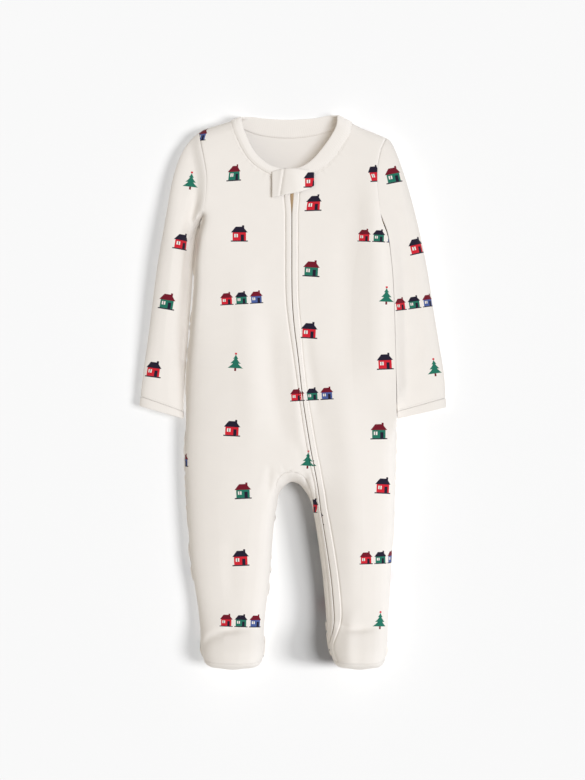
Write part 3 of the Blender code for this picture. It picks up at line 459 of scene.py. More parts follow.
def seam_dips(points, seams):
    """Height that seams take away, with the small puckers that the thread draws beside them."""
    height = np.zeros(len(points))
    for path, depth, width, pucker, length in seams:
        distance, _, place = nearest(points, path)
        wave = np.sin(2 * np.pi * place / length) + 0.6 * np.sin(2 * np.pi * place / (length * 0.61) + 1.3)
        height -= depth * hump(distance, width)
        height += pucker * wave * hump(distance, 4.5 * width)
    return height


def body_front(points, detail=True):
    """Height of the fronts above the surface that the suit lies on."""
    seam = read(BODY_SECTIONS, 4, points[:, 1])
    crown = read(BODY_SECTIONS, 3, points[:, 1])
    up = swell(points, BODY_EDGES)
    height = seam + (crown - seam) * up
    if detail:
        height += (folds(points, FOLDS) + seam_dips(points,
                                                    SEAMS + NECK_SEAMS)) * np.minimum(1, up * FOLD_FADE)
    return height


def body_back(points, detail=True):
    """Height of the back's underside: it rolls in from the seams and then lies flat."""
    up = rise(points, BODY_EDGES, BACK_ROLL)
    height = read(BODY_SECTIONS, 4, points[:, 1]) * (1 - up)
    if detail:
        height += folds(points, BACK_FOLDS) * up
    return np.maximum(height, LOWEST)


def lift(plan, height):
    """Plan points (rows, columns, 2) with their heights added."""
    flat = plan.reshape(-1, 2)
    return np.column_stack([flat, height(flat)]).reshape(plan.shape[0], plan.shape[1], 3)


def facing(grid):
    """Unit normals of a grid of points, on the side that the order of its rows and columns gives."""
    normal = np.cross(np.gradient(grid, axis=1), np.gradient(grid, axis=0))
    return normal / np.maximum(np.linalg.norm(normal, axis=2, keepdims=True), 1e-9)


def normals(grid):
    """Unit normals of a grid of points, facing up at its first row."""
    normal = facing(grid)
    return normal * np.sign(normal[0, :, 2].sum())


def moved_out(grid, amount):
    """A grid moved along its normals, by one amount or by one for each point."""
    return grid + normals(grid) * np.broadcast_to(amount, grid.shape[:2])[..., None]


def over_cloth(grid, axis=1):
    """How far over the cloth each point of a grid is from its row's first point, or from its column's."""
    step = np.linalg.norm(np.diff(grid, axis=axis), axis=2)
    return np.concatenate([np.zeros_like(step.take([0], axis)), np.cumsum(step, axis=axis)], axis=axis)


def row_shares(length, count, start_roll=0.0, end_roll=0.0):
    """Column places from 0 to 1 along a row: close together where the cloth rolls over an edge."""
    turn = 1 - np.cos(np.radians(ROLL_TURNS))
    start = list(turn[:-1] * start_roll) if start_roll else []
    end = list(length - turn[:-1][::-1] * end_roll) if end_roll else []
    low = start_roll if start_roll else 0.0
    high = length - end_roll if end_roll else length
    middle = np.linspace(low, high, count + 1 - len(start) - len(end))
    return np.concatenate([start, middle, end]) / length


def between(start, end, places):
    """Points on a straight line, at shares of its length."""
    return start[None] + (end - start)[None] * np.asarray(places)[:, None]


def seam_row(start, end, count, start_roll=0.0, end_roll=0.0):
    """A straight row of points, close together where the cloth rolls over an edge."""
    return between(start, end, row_shares(np.linalg.norm(end - start), count, start_roll, end_roll))


def yoke(bottom, top, outer, inner, rows):
    """The part above the armpit: a patch between its lowest row, armhole, shoulder, neck and inner line."""
    place = np.linalg.norm(bottom - bottom[0], axis=1)
    place = place / place[-1]
    grid = []
    for v, left, right in zip(rows, outer, inner):
        u = (1 - v) * place + v * np.linspace(0, 1, len(place))
        low = (1 - v) * bottom + v * top
        sides = (1 - u)[:, None] * left + u[:, None] * right
        corners = (1 - v) * ((1 - u)[:, None] * bottom[0] + u[:, None] * bottom[-1])
        corners = corners + v * ((1 - u)[:, None] * top[0] + u[:, None] * top[-1])
        grid.append(low + sides - corners)
    return np.array(grid)


# ---------------------------------------------------------------- how finely each piece is divided
ROLL_TURNS = (0.0, 0.6, 1.6, 3.2, 5.6, 9.0, 13.0, 18.0, 24.0, 31.0, 40.0, 52.0, 67.0, 90.0)
ROLL_COLUMNS = len(ROLL_TURNS) - 1
FRONT_ANCHOR = ROLL_COLUMNS + 20     # the column from which a front's cloth map is measured
SLEEVE_COLUMNS = 44
MAIN_COLUMNS = 78
LEFT_COLUMNS = 62
BACK_COLUMNS = 36
SHOULDER_COLUMNS = 16
YOKE_ROWS = 1 - np.linspace(1, 0, 38) ** 1.25
TRUNK_Y = np.linspace(ARMPIT_Y, CROTCH[1], 92)
CROTCH_SHARES = np.linspace(0, 1, 22)
LEG_Y = np.concatenate([np.linspace(-138.0, -240.0, 34), np.linspace(-242.5, TOE_Y, 28)])


# ---------------------------------------------------------------- zip lines
def slit(y):
    return np.column_stack([read(ZIP, 1, y), y])


def split_line(y):
    """Runs beside the zip and then swings over to the crotch."""
    beside = read(ZIP, 1, y) - SPLIT_IN
    swing = ease((SPLIT_SWING_Y - np.asarray(y)) / (SPLIT_SWING_Y - CROTCH[1]))
    return np.column_stack([beside + (CROTCH[0] - (read(ZIP, 1, CROTCH[1]) - SPLIT_IN)) * swing, y])


def half_opening(y):
    """From the zip's middle to each turned edge: the slit spreads under the guard."""
    y = np.asarray(y, float)
    return (SLIT_HALF + SLIT_SPREAD * ease((y - SPREAD_Y) / SPREAD_WAY)) * ease((y - STRIP_LAST_Y) / 8.0)


def welt_height(beside, width, y, column):
    """Height of a welt over the plain cloth, by the distance from its turned edge and the welt's width."""
    past_foot = beside - width
    proud = WELT_RISE[column] * ease((y - ZIP_END + 16.0) / 16.0)
    foot = ease((0.7 - past_foot) / 1.4)
    groove = -WELT_GROOVE[column] * hump(past_foot - 0.5, 0.9)
    stitch = -0.2 * hump(past_foot + WELT_LIP, 0.55)
    lip = -LIP_DROP * (1 - quarter(beside / WELT_LIP))
    wave = 0.12 * np.sin(2 * np.pi * y / 9.0) * hump(past_foot, 2.5)
    return proud * (foot + stitch + 0.25 * np.sin(np.pi * np.clip(beside / width, 0,
                                                                  1))) + lip + groove + wave


# ---------------------------------------------------------------- fronts and back
def leg_lines(outer_column, inseam_column, gusset_seam):
    """Outer and inner ends of each row below the crotch, the first rows ending on the gusset's seam."""
    inner_top = along(smooth_path(gusset_seam), CROTCH_SHARES[1:])
    outer_y = np.concatenate([np.linspace(CROTCH[1], inner_top[-1, 1], len(CROTCH_SHARES))[1:], LEG_Y])
    if outer_column is None:
        outer = slit(outer_y)
    else:
        outer = np.column_stack([read(BODY_SECTIONS, outer_column, outer_y), outer_y])
    inner = np.vstack([inner_top, np.column_stack([read(INSEAMS, inseam_column, LEG_Y), LEG_Y])])
    return outer, inner


def toe_sag(rows, depth):
    """The last rows bow towards the toe."""
    weight = ease(1 - (len(rows) - 1 - np.arange(len(rows))) / TOE_ROWS)
    across = np.linalg.norm(rows - rows[:, :1], axis=2)
    place = 2 * across / across[:, -1:] - 1
    rows = rows.copy()
    rows[:, :, 1] -= depth * weight[:, None] * (1 - place ** 4)
    return rows


def half_body(side, inner_line, neck, columns, roll=None):
    """Plan rows of half a front or back above the crotch, from the side seam inwards."""
    outer = np.column_stack([read(BODY_SECTIONS, side.column, TRUNK_Y), TRUNK_Y])
    inside = inner_line(TRUNK_Y)
    rolls = read(BODY_SECTIONS, 5, TRUNK_Y) if roll is None else np.full(len(TRUNK_Y), roll)
    trunk = np.array([seam_row(a, b, columns, r) for a, b, r in zip(outer, inside, rolls)])
    over = along(smooth_path(side.shoulder), np.linspace(0, 1, SHOULDER_COLUMNS + 1))
    top = np.vstack([over, along(neck, np.linspace(0, 1, columns - SHOULDER_COLUMNS + 1))[1:]])
    inner = inner_line(TRUNK_Y[0] + (top[-1, 1] - TRUNK_Y[0]) * YOKE_ROWS)
    inner[:, 0] += (top[-1, 0] - inner[-1, 0]) * YOKE_ROWS
    upper = yoke(trunk[0], top, along(smooth_path(side.armhole), YOKE_ROWS), inner, YOKE_ROWS)[::-1]
    return np.vstack([upper[:-1], trunk])


def half_leg(outer, inner, columns, roll=None, inner_roll=GUSSET_ROLL):
    """Plan rows of a leg from its side seam to its inside edge."""
    rows = []
    for k, (a, b) in enumerate(zip(outer, inner)):
        toward_leg = ease((k + 1) / (len(CROTCH_SHARES) - 1))
        side_roll = float(read(BODY_SECTIONS, 5, a[1])) if roll is None else roll
        open_row = seam_row(a, b, columns, side_roll)
        rolled = seam_row(a, b, columns, side_roll, inner_roll)
        rows.append(toward_leg * rolled + (1 - toward_leg) * open_row)
    return np.array(rows)


class Side:
    """One side of the suit: its columns in the tables and its outlines."""

    def __init__(self, name, column, roll_column, steep, inner_steep, armhole, shoulder, neck, gusset_seam,
                 sleeve_outer, sleeve_inner):
        self.name, self.column, self.roll_column = name, column, roll_column
        self.steep, self.inner_steep = steep, inner_steep
        self.armhole, self.shoulder, self.neck, self.gusset_seam = armhole, shoulder, neck, gusset_seam
        self.sleeve_outer, self.sleeve_inner = sleeve_outer, sleeve_inner


RIGHT = Side("right", 1, 4, SIDE_STEEP_RIGHT[-1][1:3], (0.3, 5.0), ARMHOLE_RIGHT, SHOULDER_RIGHT,
             NECK_SEAM_RIGHT,
             GUSSET_SEAM_RIGHT, SLEEVE_OUTER_RIGHT, SLEEVE_INNER_RIGHT)
LEFT = Side("left", 2, 5, SIDE_STEEP_LEFT[-1][1:3], (1.0, 0.15), ARMHOLE_LEFT, SHOULDER_LEFT, NECK_SEAM_LEFT,
            GUSSET_SEAM_LEFT, SLEEVE_OUTER_LEFT, SLEEVE_INNER_LEFT)


def slit_beside(inner, neck_end):
    """The slit's points level with a front's inner column, closing up to the end of the neck seam."""
    y = inner[:, 1].copy()
    above = y >= TRUNK_Y[0]
    y[above] = TRUNK_Y[0] + (y[above] - TRUNK_Y[0]) * (neck_end[1] - TRUNK_Y[0]) / (y[0] - TRUNK_Y[0])
    return slit(y)


def zip_rows(starts, ends, column):
    """Rows that run from a front's inner column over the welt to the slit, and each point's welt height."""
    rows, heights = [], []
    for start, end, width in zip(starts, ends, read(ZIP, column, ends[:, 1])):
        gap = float(half_opening(end[1]))
        span = abs(end[0] - start[0]) - gap
        top = min(width, span * 0.8)
        closer = min(1.0, top / PLAIN_WELT)
        near, over = LIP_PLACES * closer, top + FOOT_PLACES * closer
        rest = np.linspace(over[-1], span,
                           5)[1:] if span > over[-1] + 0.2 else over[-1] + 0.04 * np.arange(1, 5)
        place = np.clip(np.concatenate([near, over, rest])[::-1], 0, span)
        rows.append(start + (end - start) * (1 - (place + gap) / (span + gap))[:, None])
        heights.append(welt_height(place, top, end[1], column) * min(1, span / 0.8))
    return np.array(rows), np.array(heights)


def raised(rows, heights):
    """Plan rows laid on the fronts with each point's own height added."""
    return lift(rows, body_front) + np.dstack([np.zeros(heights.shape + (2,)), heights])


def flat_lengths(grid, anchor, x0=None):
    """Cloth coordinates of a grid: lengths measured over the cloth from an anchor column."""
    across, fall = over_cloth(grid), lengths(grid[:, anchor])
    u = across - across[:, anchor:anchor + 1] + (grid[:, anchor:anchor + 1, 0] if x0 is None else x0)
    level = int(np.argmin(np.abs(grid[:, anchor, 1])))
    v = (fall[level] - fall)[:, None] + grid[level, anchor,
                                             1] + (grid[:, :, 1] - grid[:, anchor:anchor + 1, 1])
    return np.dstack([u, v])


# ---------------------------------------------------------------- shader graphs
class Wire:
    """A node's output that adds, scales and compares like a number."""

    def __init__(self, graph, socket):
        self.graph, self.socket = graph, socket

    def math(self, operation, *values):
        return self.graph.node("ShaderNodeMath", {"operation": operation}, dict(enumerate(values)))

    def __add__(self, other):
        return self.math("ADD", self, other)

    __radd__ = __add__

    def __sub__(self, other):
        return self.math("SUBTRACT", self, other)

    def __rsub__(self, other):
        return self.math("SUBTRACT", other, self)

    def __mul__(self, other):
        return self.math("MULTIPLY", self, other)

    __rmul__ = __mul__

    def __truediv__(self, other):
        return self.math("DIVIDE", self, other)

    def __abs__(self):
        return self.math("ABSOLUTE", self)

    def floor(self):
        return self.math("FLOOR", self)

    def fraction(self):
        return self.math("FRACT", self)

    def sine(self):
        return self.math("SINE", self)

    def near(self, value):
        """1 where this is the given whole number, else 0."""
        return self.math("COMPARE", self, value, 0.5)

    def below(self, limit, soft=0.3):
        """1 under the limit, 0 over it, with a soft edge."""
        return self.graph.node("ShaderNodeMapRange", {"interpolation_type": "SMOOTHSTEP"},
                               {"Value": self - limit, "From Min": soft / 2, "From Max": -soft / 2,
                                "To Min": 0.0, "To Max": 1.0})


class Graph:
    """One material's nodes."""

    def __init__(self, name):
        self.material = bpy.data.materials.new(name)
        self.material.use_nodes = True
        self.tree = self.material.node_tree
        self.shader = self.tree.nodes["Principled BSDF"]

    def node(self, kind, settings=None, inputs=None, output=0):
        made = self.tree.nodes.new(kind)
        for key, value in (settings or {}).items():
            setattr(made, key, value)
        for key, value in (inputs or {}).items():
            self.put(made.inputs[key], value)
        return Wire(self, made.outputs[output])

    def put(self, socket, value):
        if isinstance(value, Wire):
            self.tree.links.new(value.socket, socket)
        elif socket.type == "RGBA":
            socket.default_value = tuple(value[:3]) + (1.0,)
        else:
            socket.default_value = value

    def parts(self, vector):
        split = self.tree.nodes.new("ShaderNodeSeparateXYZ")
        self.put(split.inputs[0], vector)
        return [Wire(self, split.outputs[k]) for k in range(3)]

    def cloth_map(self):
        return self.node("ShaderNodeUVMap", {"uv_map": "cloth"})

    def object_place(self):
        return self.node("ShaderNodeTexCoord", output=3)

    def noise(self, vector, scale, detail=2.0, output=0):
        return self.node("ShaderNodeTexNoise", None, {"Vector": vector, "Scale": scale, "Detail": detail},
                         output)

    def choose(self, factor, first, second):
        """Number that goes from the first to the second as the factor goes from 0 to 1."""
        return self.node("ShaderNodeMix", {"data_type": "FLOAT"}, {0: factor, 2: first, 3: second})

    def blend(self, factor, first, second):
        """Colour that goes from the first to the second as the factor goes from 0 to 1."""
        return self.node("ShaderNodeMix", {"data_type": "RGBA"}, {0: factor, 6: first, 7: second}, 2)

    def finish(self, colour, roughness, bump=None, bump_strength=0.0, bump_distance=0.0, sheen=0.0,
               specular=0.3):
        self.put(self.shader.inputs["Base Color"], colour)
        self.put(self.shader.inputs["Roughness"], roughness)
        self.put(self.shader.inputs["Sheen Weight"], sheen)
        self.put(self.shader.inputs["Sheen Roughness"], 0.5)
        self.put(self.shader.inputs["Specular IOR Level"], specular)
        if bump is not None:
            normal = self.node("ShaderNodeBump", None, {"Height": bump, "Strength": bump_strength,
                                                        "Distance": bump_distance})
            self.put(self.shader.inputs["Normal"], normal)
        return self.material


def linear(colour):
    """The linear value of a display colour given from 0 to 255."""
    return tuple((c / 255 / 12.92) if c <= 10 else ((c / 255 + 0.055) / 1.055) ** 2.4 for c in colour)


def knit_height(across, along_cloth, pitch):
    """Height of fine knitted columns, with small stitches along each."""
    turn = 2 * math.pi / pitch
    column = (across * turn).sine()
    stitch = (along_cloth * (turn * 1.35) + column * 1.2).sine()
    return column * 0.6 + stitch * 0.4


class Motif:
    """Flat shapes laid over each other in a motif's own millimetres."""

    def __init__(self, graph, x, y, base):
        self.graph, self.x, self.y, self.colour = graph, x, y, base

    def lay(self, mask, colour):
        self.colour = self.graph.blend(mask, self.colour, colour)

    def box(self, cx, cy, wide, high):
        return abs(self.x - cx).below(wide / 2) * abs(self.y - cy).below(high / 2)

    def gable(self, cx, low, wide, top, high):
        """A roof that narrows from its eaves to its ridge."""
        reach = wide / 2 - (self.y - low) * ((wide - top) / 2 / high)
        return (abs(self.x - cx) - reach).below(0.0) * abs(self.y - (low + high / 2)).below(high / 2)


PRINT_START = (22.0, 36.5)    # moves the whole print, in millimetres, as are all sizes of the print
SCATTER = (14.0, 12.0)        # how far a motif may lie from the middle of its place
TILT = 0.12
KINDS = 5                     # 0 is a row of three small houses, 4 a fir tree, the rest a house
ROW_STEP = 16.6
ROW_HALF = 24.9
ROW_SMALLER = 1.28


def house_colour(graph, x, y, cloth, wall, roof, dark):
    house = Motif(graph, x, y, cloth)
    house.lay(house.box(4.3, 6.4, 2.4, 5.2), roof)
    house.lay(house.box(0.0, -3.6, 15.0, 9.6), wall)
    house.lay(house.gable(0.0, 0.8, 18.6, 8.0, 6.6), roof)
    house.lay(house.box(-3.6, -2.8, 4.0, 3.8), cloth)
    house.lay(house.box(-3.6, -2.8, 0.8, 3.8), dark)
    house.lay(house.box(3.4, -5.0, 3.6, 6.8), dark)
    house.lay(house.box(0.0, -9.0, 19.0, 1.3), dark)
    return house.colour


def fir_colour(graph, x, y, cloth, look):
    """A fir tree whose branches are three saw teeth, with a trunk and a tip."""
    fir = Motif(graph, x, y, cloth)
    drop = (8.6 - y) / 16.0
    reach = drop * (4.4 + (drop * 3.0).fraction() * 4.6)
    fir.lay(fir.box(0.0, -8.6, 2.2, 3.6), look.maroon)
    fir.lay((abs(x) - reach).below(0.0) * abs(y - 0.7).below(7.9), look.green)
    fir.lay(fir.box(0.0, 9.0, 2.4, 2.0), look.red)
    return fir.colour


def print_colour(graph, look, cloth, across, along_cloth):
    """The cloth's colour with a scattered print of little houses and fir trees on it."""
    wide, high = look.repeat_width / MM, look.repeat_height / MM
    x, y = across / MM + PRINT_START[0], along_cloth / MM + PRINT_START[1]
    column = (x / wide).floor()
    y = y + (column * 0.5).fraction() * high
    row = (y / high).floor()
    cell = graph.node("ShaderNodeCombineXYZ", None, {0: column, 1: row, 2: 4.0})
    chance = graph.parts(graph.node("ShaderNodeTexWhiteNoise", {"noise_dimensions": "3D"}, {"Vector": cell},
                                    1))
    kind = (((column * 2 + row + 40) / KINDS).fraction() * KINDS + 0.5).floor()
    in_row, tree = kind.near(0), kind.near(4)
    u = (x / wide).fraction() * wide - wide / 2 + (chance[0] - 0.5) * SCATTER[0]
    v = (y / high).fraction() * high - high / 2 + (chance[1] - 0.5) * SCATTER[1]
    tilt = (chance[2] - 0.5) * TILT
    u, v = u + v * tilt, v - u * tilt
    step = ((u + ROW_HALF) / ROW_STEP).floor()
    smaller = graph.choose(in_row, 1.0, ROW_SMALLER)
    u_house = graph.choose(in_row, u, u - (step - 1) * ROW_STEP) * smaller
    first, second = step.near(0) * in_row, step.near(1) * in_row
    odd = kind.near(1) + kind.near(3)
    wall = graph.blend(odd, look.green, look.red)
    for place, colour in ((in_row, look.blue), (first, look.red), (second, look.green)):
        wall = graph.blend(place, wall, colour)
    roof = graph.blend(odd + second, look.maroon, look.navy)
    house = house_colour(graph, u_house, v * smaller, cloth, wall, roof, look.navy)
    picture = graph.blend(tree, house, fir_colour(graph, u, v, cloth, look))
    shown = graph.choose(in_row, 1.0, abs(u).below(ROW_HALF, 0.05))
    return graph.blend(shown, cloth, picture)


def knit_material(name, look, printed, pitch=0.0009, darker=1.0):
    graph = Graph(name)
    across, along_cloth, _ = graph.parts(graph.cloth_map())
    mottle = graph.noise(graph.object_place(), 55.0, 3.0)
    plain = tuple(c * darker for c in look.cloth)
    shade = tuple(c * darker * 0.965 for c in look.cloth)
    cloth = graph.blend(mottle, shade, plain)
    colour = print_colour(graph, look, cloth, across, along_cloth) if printed else cloth
    fuzz = graph.noise(graph.object_place(), 900.0, 2.0)
    bump = knit_height(across, along_cloth, pitch) + fuzz * 0.8
    return graph.finish(colour, look.roughness, bump, look.knit, 0.0003, sheen=0.12, specular=0.2)


def rib_material(name, look, pitch=0.0021):
    """Ribs that run along the cloth map's second direction."""
    graph = Graph(name)
    across, along_cloth, _ = graph.parts(graph.cloth_map())
    mottle = graph.noise(graph.object_place(), 60.0, 2.0)
    rib = (across * (2 * math.pi / pitch)).sine()
    cloth = graph.blend(mottle, tuple(c * 0.965 for c in look.cloth), tuple(look.cloth))
    cloth = graph.blend(rib * 0.04 + 0.04, cloth, tuple(c * 0.8 for c in look.cloth))
    bump = rib + graph.noise(graph.object_place(), 900.0, 2.0) * 0.5
    return graph.finish(cloth, look.roughness, bump, look.knit, 0.0006, sheen=0.12, specular=0.2)


def woven_material(name, colour, pitch=0.0007):
    graph = Graph(name)
    across, along_cloth, _ = graph.parts(graph.cloth_map())
    turn = 2 * math.pi / pitch
    weave = (across * turn).sine() * (along_cloth * turn).sine()
    shade = graph.blend(weave * 0.15 + 0.2, colour, tuple(c * 0.7 for c in colour))
    return graph.finish(shade, 0.8, weave, 0.5, 0.0003, specular=0.25)


def smooth_material(name, colour, roughness, metallic=0.0):
    graph = Graph(name)
    mottle = graph.noise(graph.object_place(), 300.0, 2.0)
    graph.put(graph.shader.inputs["Metallic"], metallic)
    return graph.finish(graph.blend(mottle, tuple(c * 0.94 for c in colour), colour), roughness, specular=0.4)


# ---------------------------------------------------------------- making objects
def world(x, y, z):
    """A place of the tables, in the frame's metres."""
    return Vector(((x - ORIGIN[0]) * MM, (y - ORIGIN[1]) * MM, z * MM))


def add_grid(bm, grid, cloth, flip=False):
    """A grid whose points are moved to (rows, columns, 3) places, with its cloth map, in millimetres."""
    rows, columns = grid.shape[:2]
    layer = bm.loops.layers.uv.verify()
    made = bmesh.ops.create_grid(bm, x_segments=columns - 1, y_segments=rows - 1, size=1.0)["verts"]
    faces = set()
    for vertex in made:
        c = round((vertex.co.x + 1) / 2 * (columns - 1))
        r = round((1 - vertex.co.y) / 2 * (rows - 1))
        vertex.co = world(*grid[r, c])
        for loop in vertex.link_loops:
            loop[layer].uv = cloth[r, c] * MM
        faces.update(vertex.link_faces)
    if flip:
        bmesh.ops.reverse_faces(bm, faces=list(faces))


def new_piece(name, bm, materials, thickness=0.0, offset=-1.0):
    bmesh.ops.remove_doubles(bm, verts=bm.verts, dist=0.012 * MM)
    if bm.loops.layers.uv:
        bm.loops.layers.uv.verify()
    mesh = bpy.data.meshes.new(name)
    bm.to_mesh(mesh)
    bm.free()
    if mesh.uv_layers:
        mesh.uv_layers[0].name = "cloth"
    for material in materials:
        mesh.materials.append(material)
    mesh.shade_smooth()
    piece = bpy.data.objects.new(name, mesh)
    bpy.context.scene.collection.objects.link(piece)
    if thickness:
        wall = piece.modifiers.new("cloth thickness", "SOLIDIFY")
        wall.thickness = thickness * MM
        wall.offset = offset
        wall.use_rim = True
        wall.material_offset = len(materials) - 1
        wall.material_offset_rim = 0
    return piece


def cloth_area(piece):
    """Area of a piece's own faces, in square metres."""
    return sum(face.area for face in piece.data.polygons)


def laid(piece, cut=None, folded=1):
    """Works out the cut of a piece of cloth that lies flat: as given, or else as wide and long as its cloth
    map;
    a band that is folded double at its folded length. The values are not kept or returned."""
    layer = piece.data.uv_layers["cloth"].uv
    values = np.empty(len(layer) * 2)
    layer.foreach_get("vector", values)
    width, length = cut or [float(side) for side in np.ptp(values.reshape(-1, 2), axis=0)]
    length, surface = length / folded, cloth_area(piece) / folded


def tuck(grid, left=False, right=False, top=False, bottom=False, depth=SEAM_TUCK, reach=SEAM_REACH):
    """Draws the grid's flagged borders in, as a seam does; a flag may be a share for each row."""
    across, down = over_cloth(grid), over_cloth(grid, 0)
    amount = np.zeros(grid.shape[:2])
    for wanted, distance in ((left, across), (right, across[:, -1:] - across), (top, down),
                             (bottom, down[-1:] - down)):
        amount = np.maximum(amount, wanted * depth * hump(distance, reach))
    return moved_out(grid, -amount)


# ---------------------------------------------------------------- cloth pieces
def front_right_grids():
    neck = smooth_path(RIGHT.neck)
    to_split = neck[neck[:, 0] <= split_line(neck[-1:, 1])[0, 0]]
    body = half_body(RIGHT, split_line, to_split, MAIN_COLUMNS)
    outer, inner = leg_lines(1, 1, RIGHT.gusset_seam)
    leg = toe_sag(half_leg(outer, inner, MAIN_COLUMNS), TOE_BOW)
    main = lift(np.vstack([body, leg]), body_front)
    zip_side, inside = leg_lines(None, 2, LEFT.gusset_seam)
    kept = zip_side[:, 1] >= STRIP_LAST_Y
    starts = np.vstack([body[:, -1], inside[kept]])
    ends = np.vstack([slit_beside(body[:, -1], neck[-1]), zip_side[kept]])
    rows, heights = zip_rows(starts, ends, 2)
    strip = raised(rows, heights)
    strip[:len(body), 0] = main[:len(body), -1]
    return main, strip, len(body)


def front_left_grids():
    neck = smooth_path(LEFT.neck)

    def inner_line(y):
        line = slit(np.asarray(y, float))
        line[:, 0] += read(ZIP, 3, y) + SPLIT_OUT
        return line

    to_welt = neck[neck[:, 0] >= inner_line(neck[-1:, 1])[0, 0]]
    body = half_body(LEFT, inner_line, to_welt, LEFT_COLUMNS)
    outer, _ = leg_lines(2, 2, LEFT.gusset_seam)
    starts = inner_line(outer[:, 1])
    leg = np.array([seam_row(a, b, LEFT_COLUMNS, start_roll=float(read(BODY_SECTIONS, 5, a[1])))
                    for a, b in zip(outer, starts)])
    main = np.vstack([body, leg])
    ends = slit_beside(main[:, -1], neck[-1])
    rows, heights = zip_rows(main[:, -1], ends, 3)
    both = np.hstack([main, rows[:, 1:]])
    both[len(body):] = toe_sag(both[len(body):], TOE_BOW)
    grid = lift(both, body_front)
    grid[:, LEFT_COLUMNS + 1:, 2] += heights[:, 1:]
    return grid


def front_maps(main, strip, body_rows):
    """Cloth coordinates of the right front and of the strip beside the zip, running on from it."""
    anchor = FRONT_ANCHOR
    main_map = flat_lengths(main, anchor)
    strip_map = flat_lengths(strip, 0)
    edge_map = main_map[:body_rows, -1]
    strip_map[:body_rows, :, 0] += edge_map[:, None, 0] - strip_map[:body_rows, :1, 0]
    strip_map[:body_rows, :, 1] += edge_map[:, None, 1] - strip_map[:body_rows, :1, 1]
    strip_map[body_rows:, :, 1] += strip_map[body_rows - 1, 0, 1] - strip_map[body_rows, 0, 1]
    return main_map, strip_map


def back_grids():
    def inner_line(y):
        return np.column_stack([np.full(len(y), CENTRE_X), y])

    neck = smooth_path(BACK_NECK_SEAM)
    halves = []
    for side, half_neck in ((RIGHT, neck[neck[:, 0] <= CENTRE_X + 0.01]),
                            (LEFT, neck[neck[:, 0] >= CENTRE_X - 0.01][::-1])):
        body = half_body(side, inner_line, half_neck, BACK_COLUMNS, BACK_ROLL)
        outer, inner = leg_lines(side.column, side.column, side.gusset_seam)
        leg = toe_sag(half_leg(outer, inner, BACK_COLUMNS, BACK_ROLL, BACK_ROLL), -HEEL_BOW)
        grid = lift(np.vstack([body, leg]), body_back)
        halves.append(grid)
    return halves


def gusset_grid():
    places = CROTCH_SHARES[:-1]
    notch = smooth_path(NOTCH)
    top = notch[:, 1].argmax()
    seam_points = np.vstack([along(smooth_path(GUSSET_SEAM_RIGHT), places[::-1]),
                             along(smooth_path(GUSSET_SEAM_LEFT), places[1:])])
    edge_points = np.vstack([along(notch[:top + 1][::-1], places[::-1]), along(notch[top:], places[1:])])
    reach = seam_points - edge_points
    turn = np.linspace(0, 1, 14)
    plan = [edge_points + reach * (1 - share) ** 1.6 for share in turn]
    under = [edge_points + reach * share ** 1.4 for share in np.linspace(0, 1, 9)[1:]]
    return np.concatenate([lift(np.array(plan), body_front), lift(np.array(under), body_back)])


def sleeve_edges(side):
    outer_path, inner_path = smooth_path(side.sleeve_outer), smooth_path(side.sleeve_inner)
    shoulder = smooth_path(side.shoulder)[::-1]
    outer_length, inner_length = lengths(outer_path), lengths(inner_path)
    outer_rolls = read(SLEEVE_SECTIONS, 3, outer_length / outer_length[-1])
    steep = 1 - (1 - SLEEVE_STEEP) * ease(outer_length / outer_length[-1] / SLEEVE_TOP)
    outer_edge = edge(np.vstack([shoulder, outer_path]),
                      np.concatenate([np.full(len(shoulder), SHOULDER_ROLL), outer_rolls]),
                      EDGE_SHARE * np.concatenate([np.ones(len(shoulder)), steep]))
    down = inner_length / inner_length[-1]
    away = ease(down / 0.07)
    share = side.steep[0] + (side.inner_steep[0] - side.steep[0]) * away
    short = side.steep[1] + (side.inner_steep[1] - side.steep[1]) * away
    inset = np.interp(down, *zip(*SLEEVE_INSETS)) if side is RIGHT else 0.0
    inner_edge = edge(inner_path, read(SLEEVE_SECTIONS, side.roll_column, down), share, short, inset)
    return outer_path, inner_path, outer_edge, inner_edge


def sleeve_places(width, outer_roll, inner_roll):
    turn = 1 - np.cos(np.radians(ROLL_TURNS))
    start, end = turn * outer_roll, width - turn[::-1] * inner_roll
    middle = np.linspace(start[-1], end[0], SLEEVE_COLUMNS - 2 * len(turn) + 2)
    return np.concatenate([start[:-1], middle, end[1:]]) / width


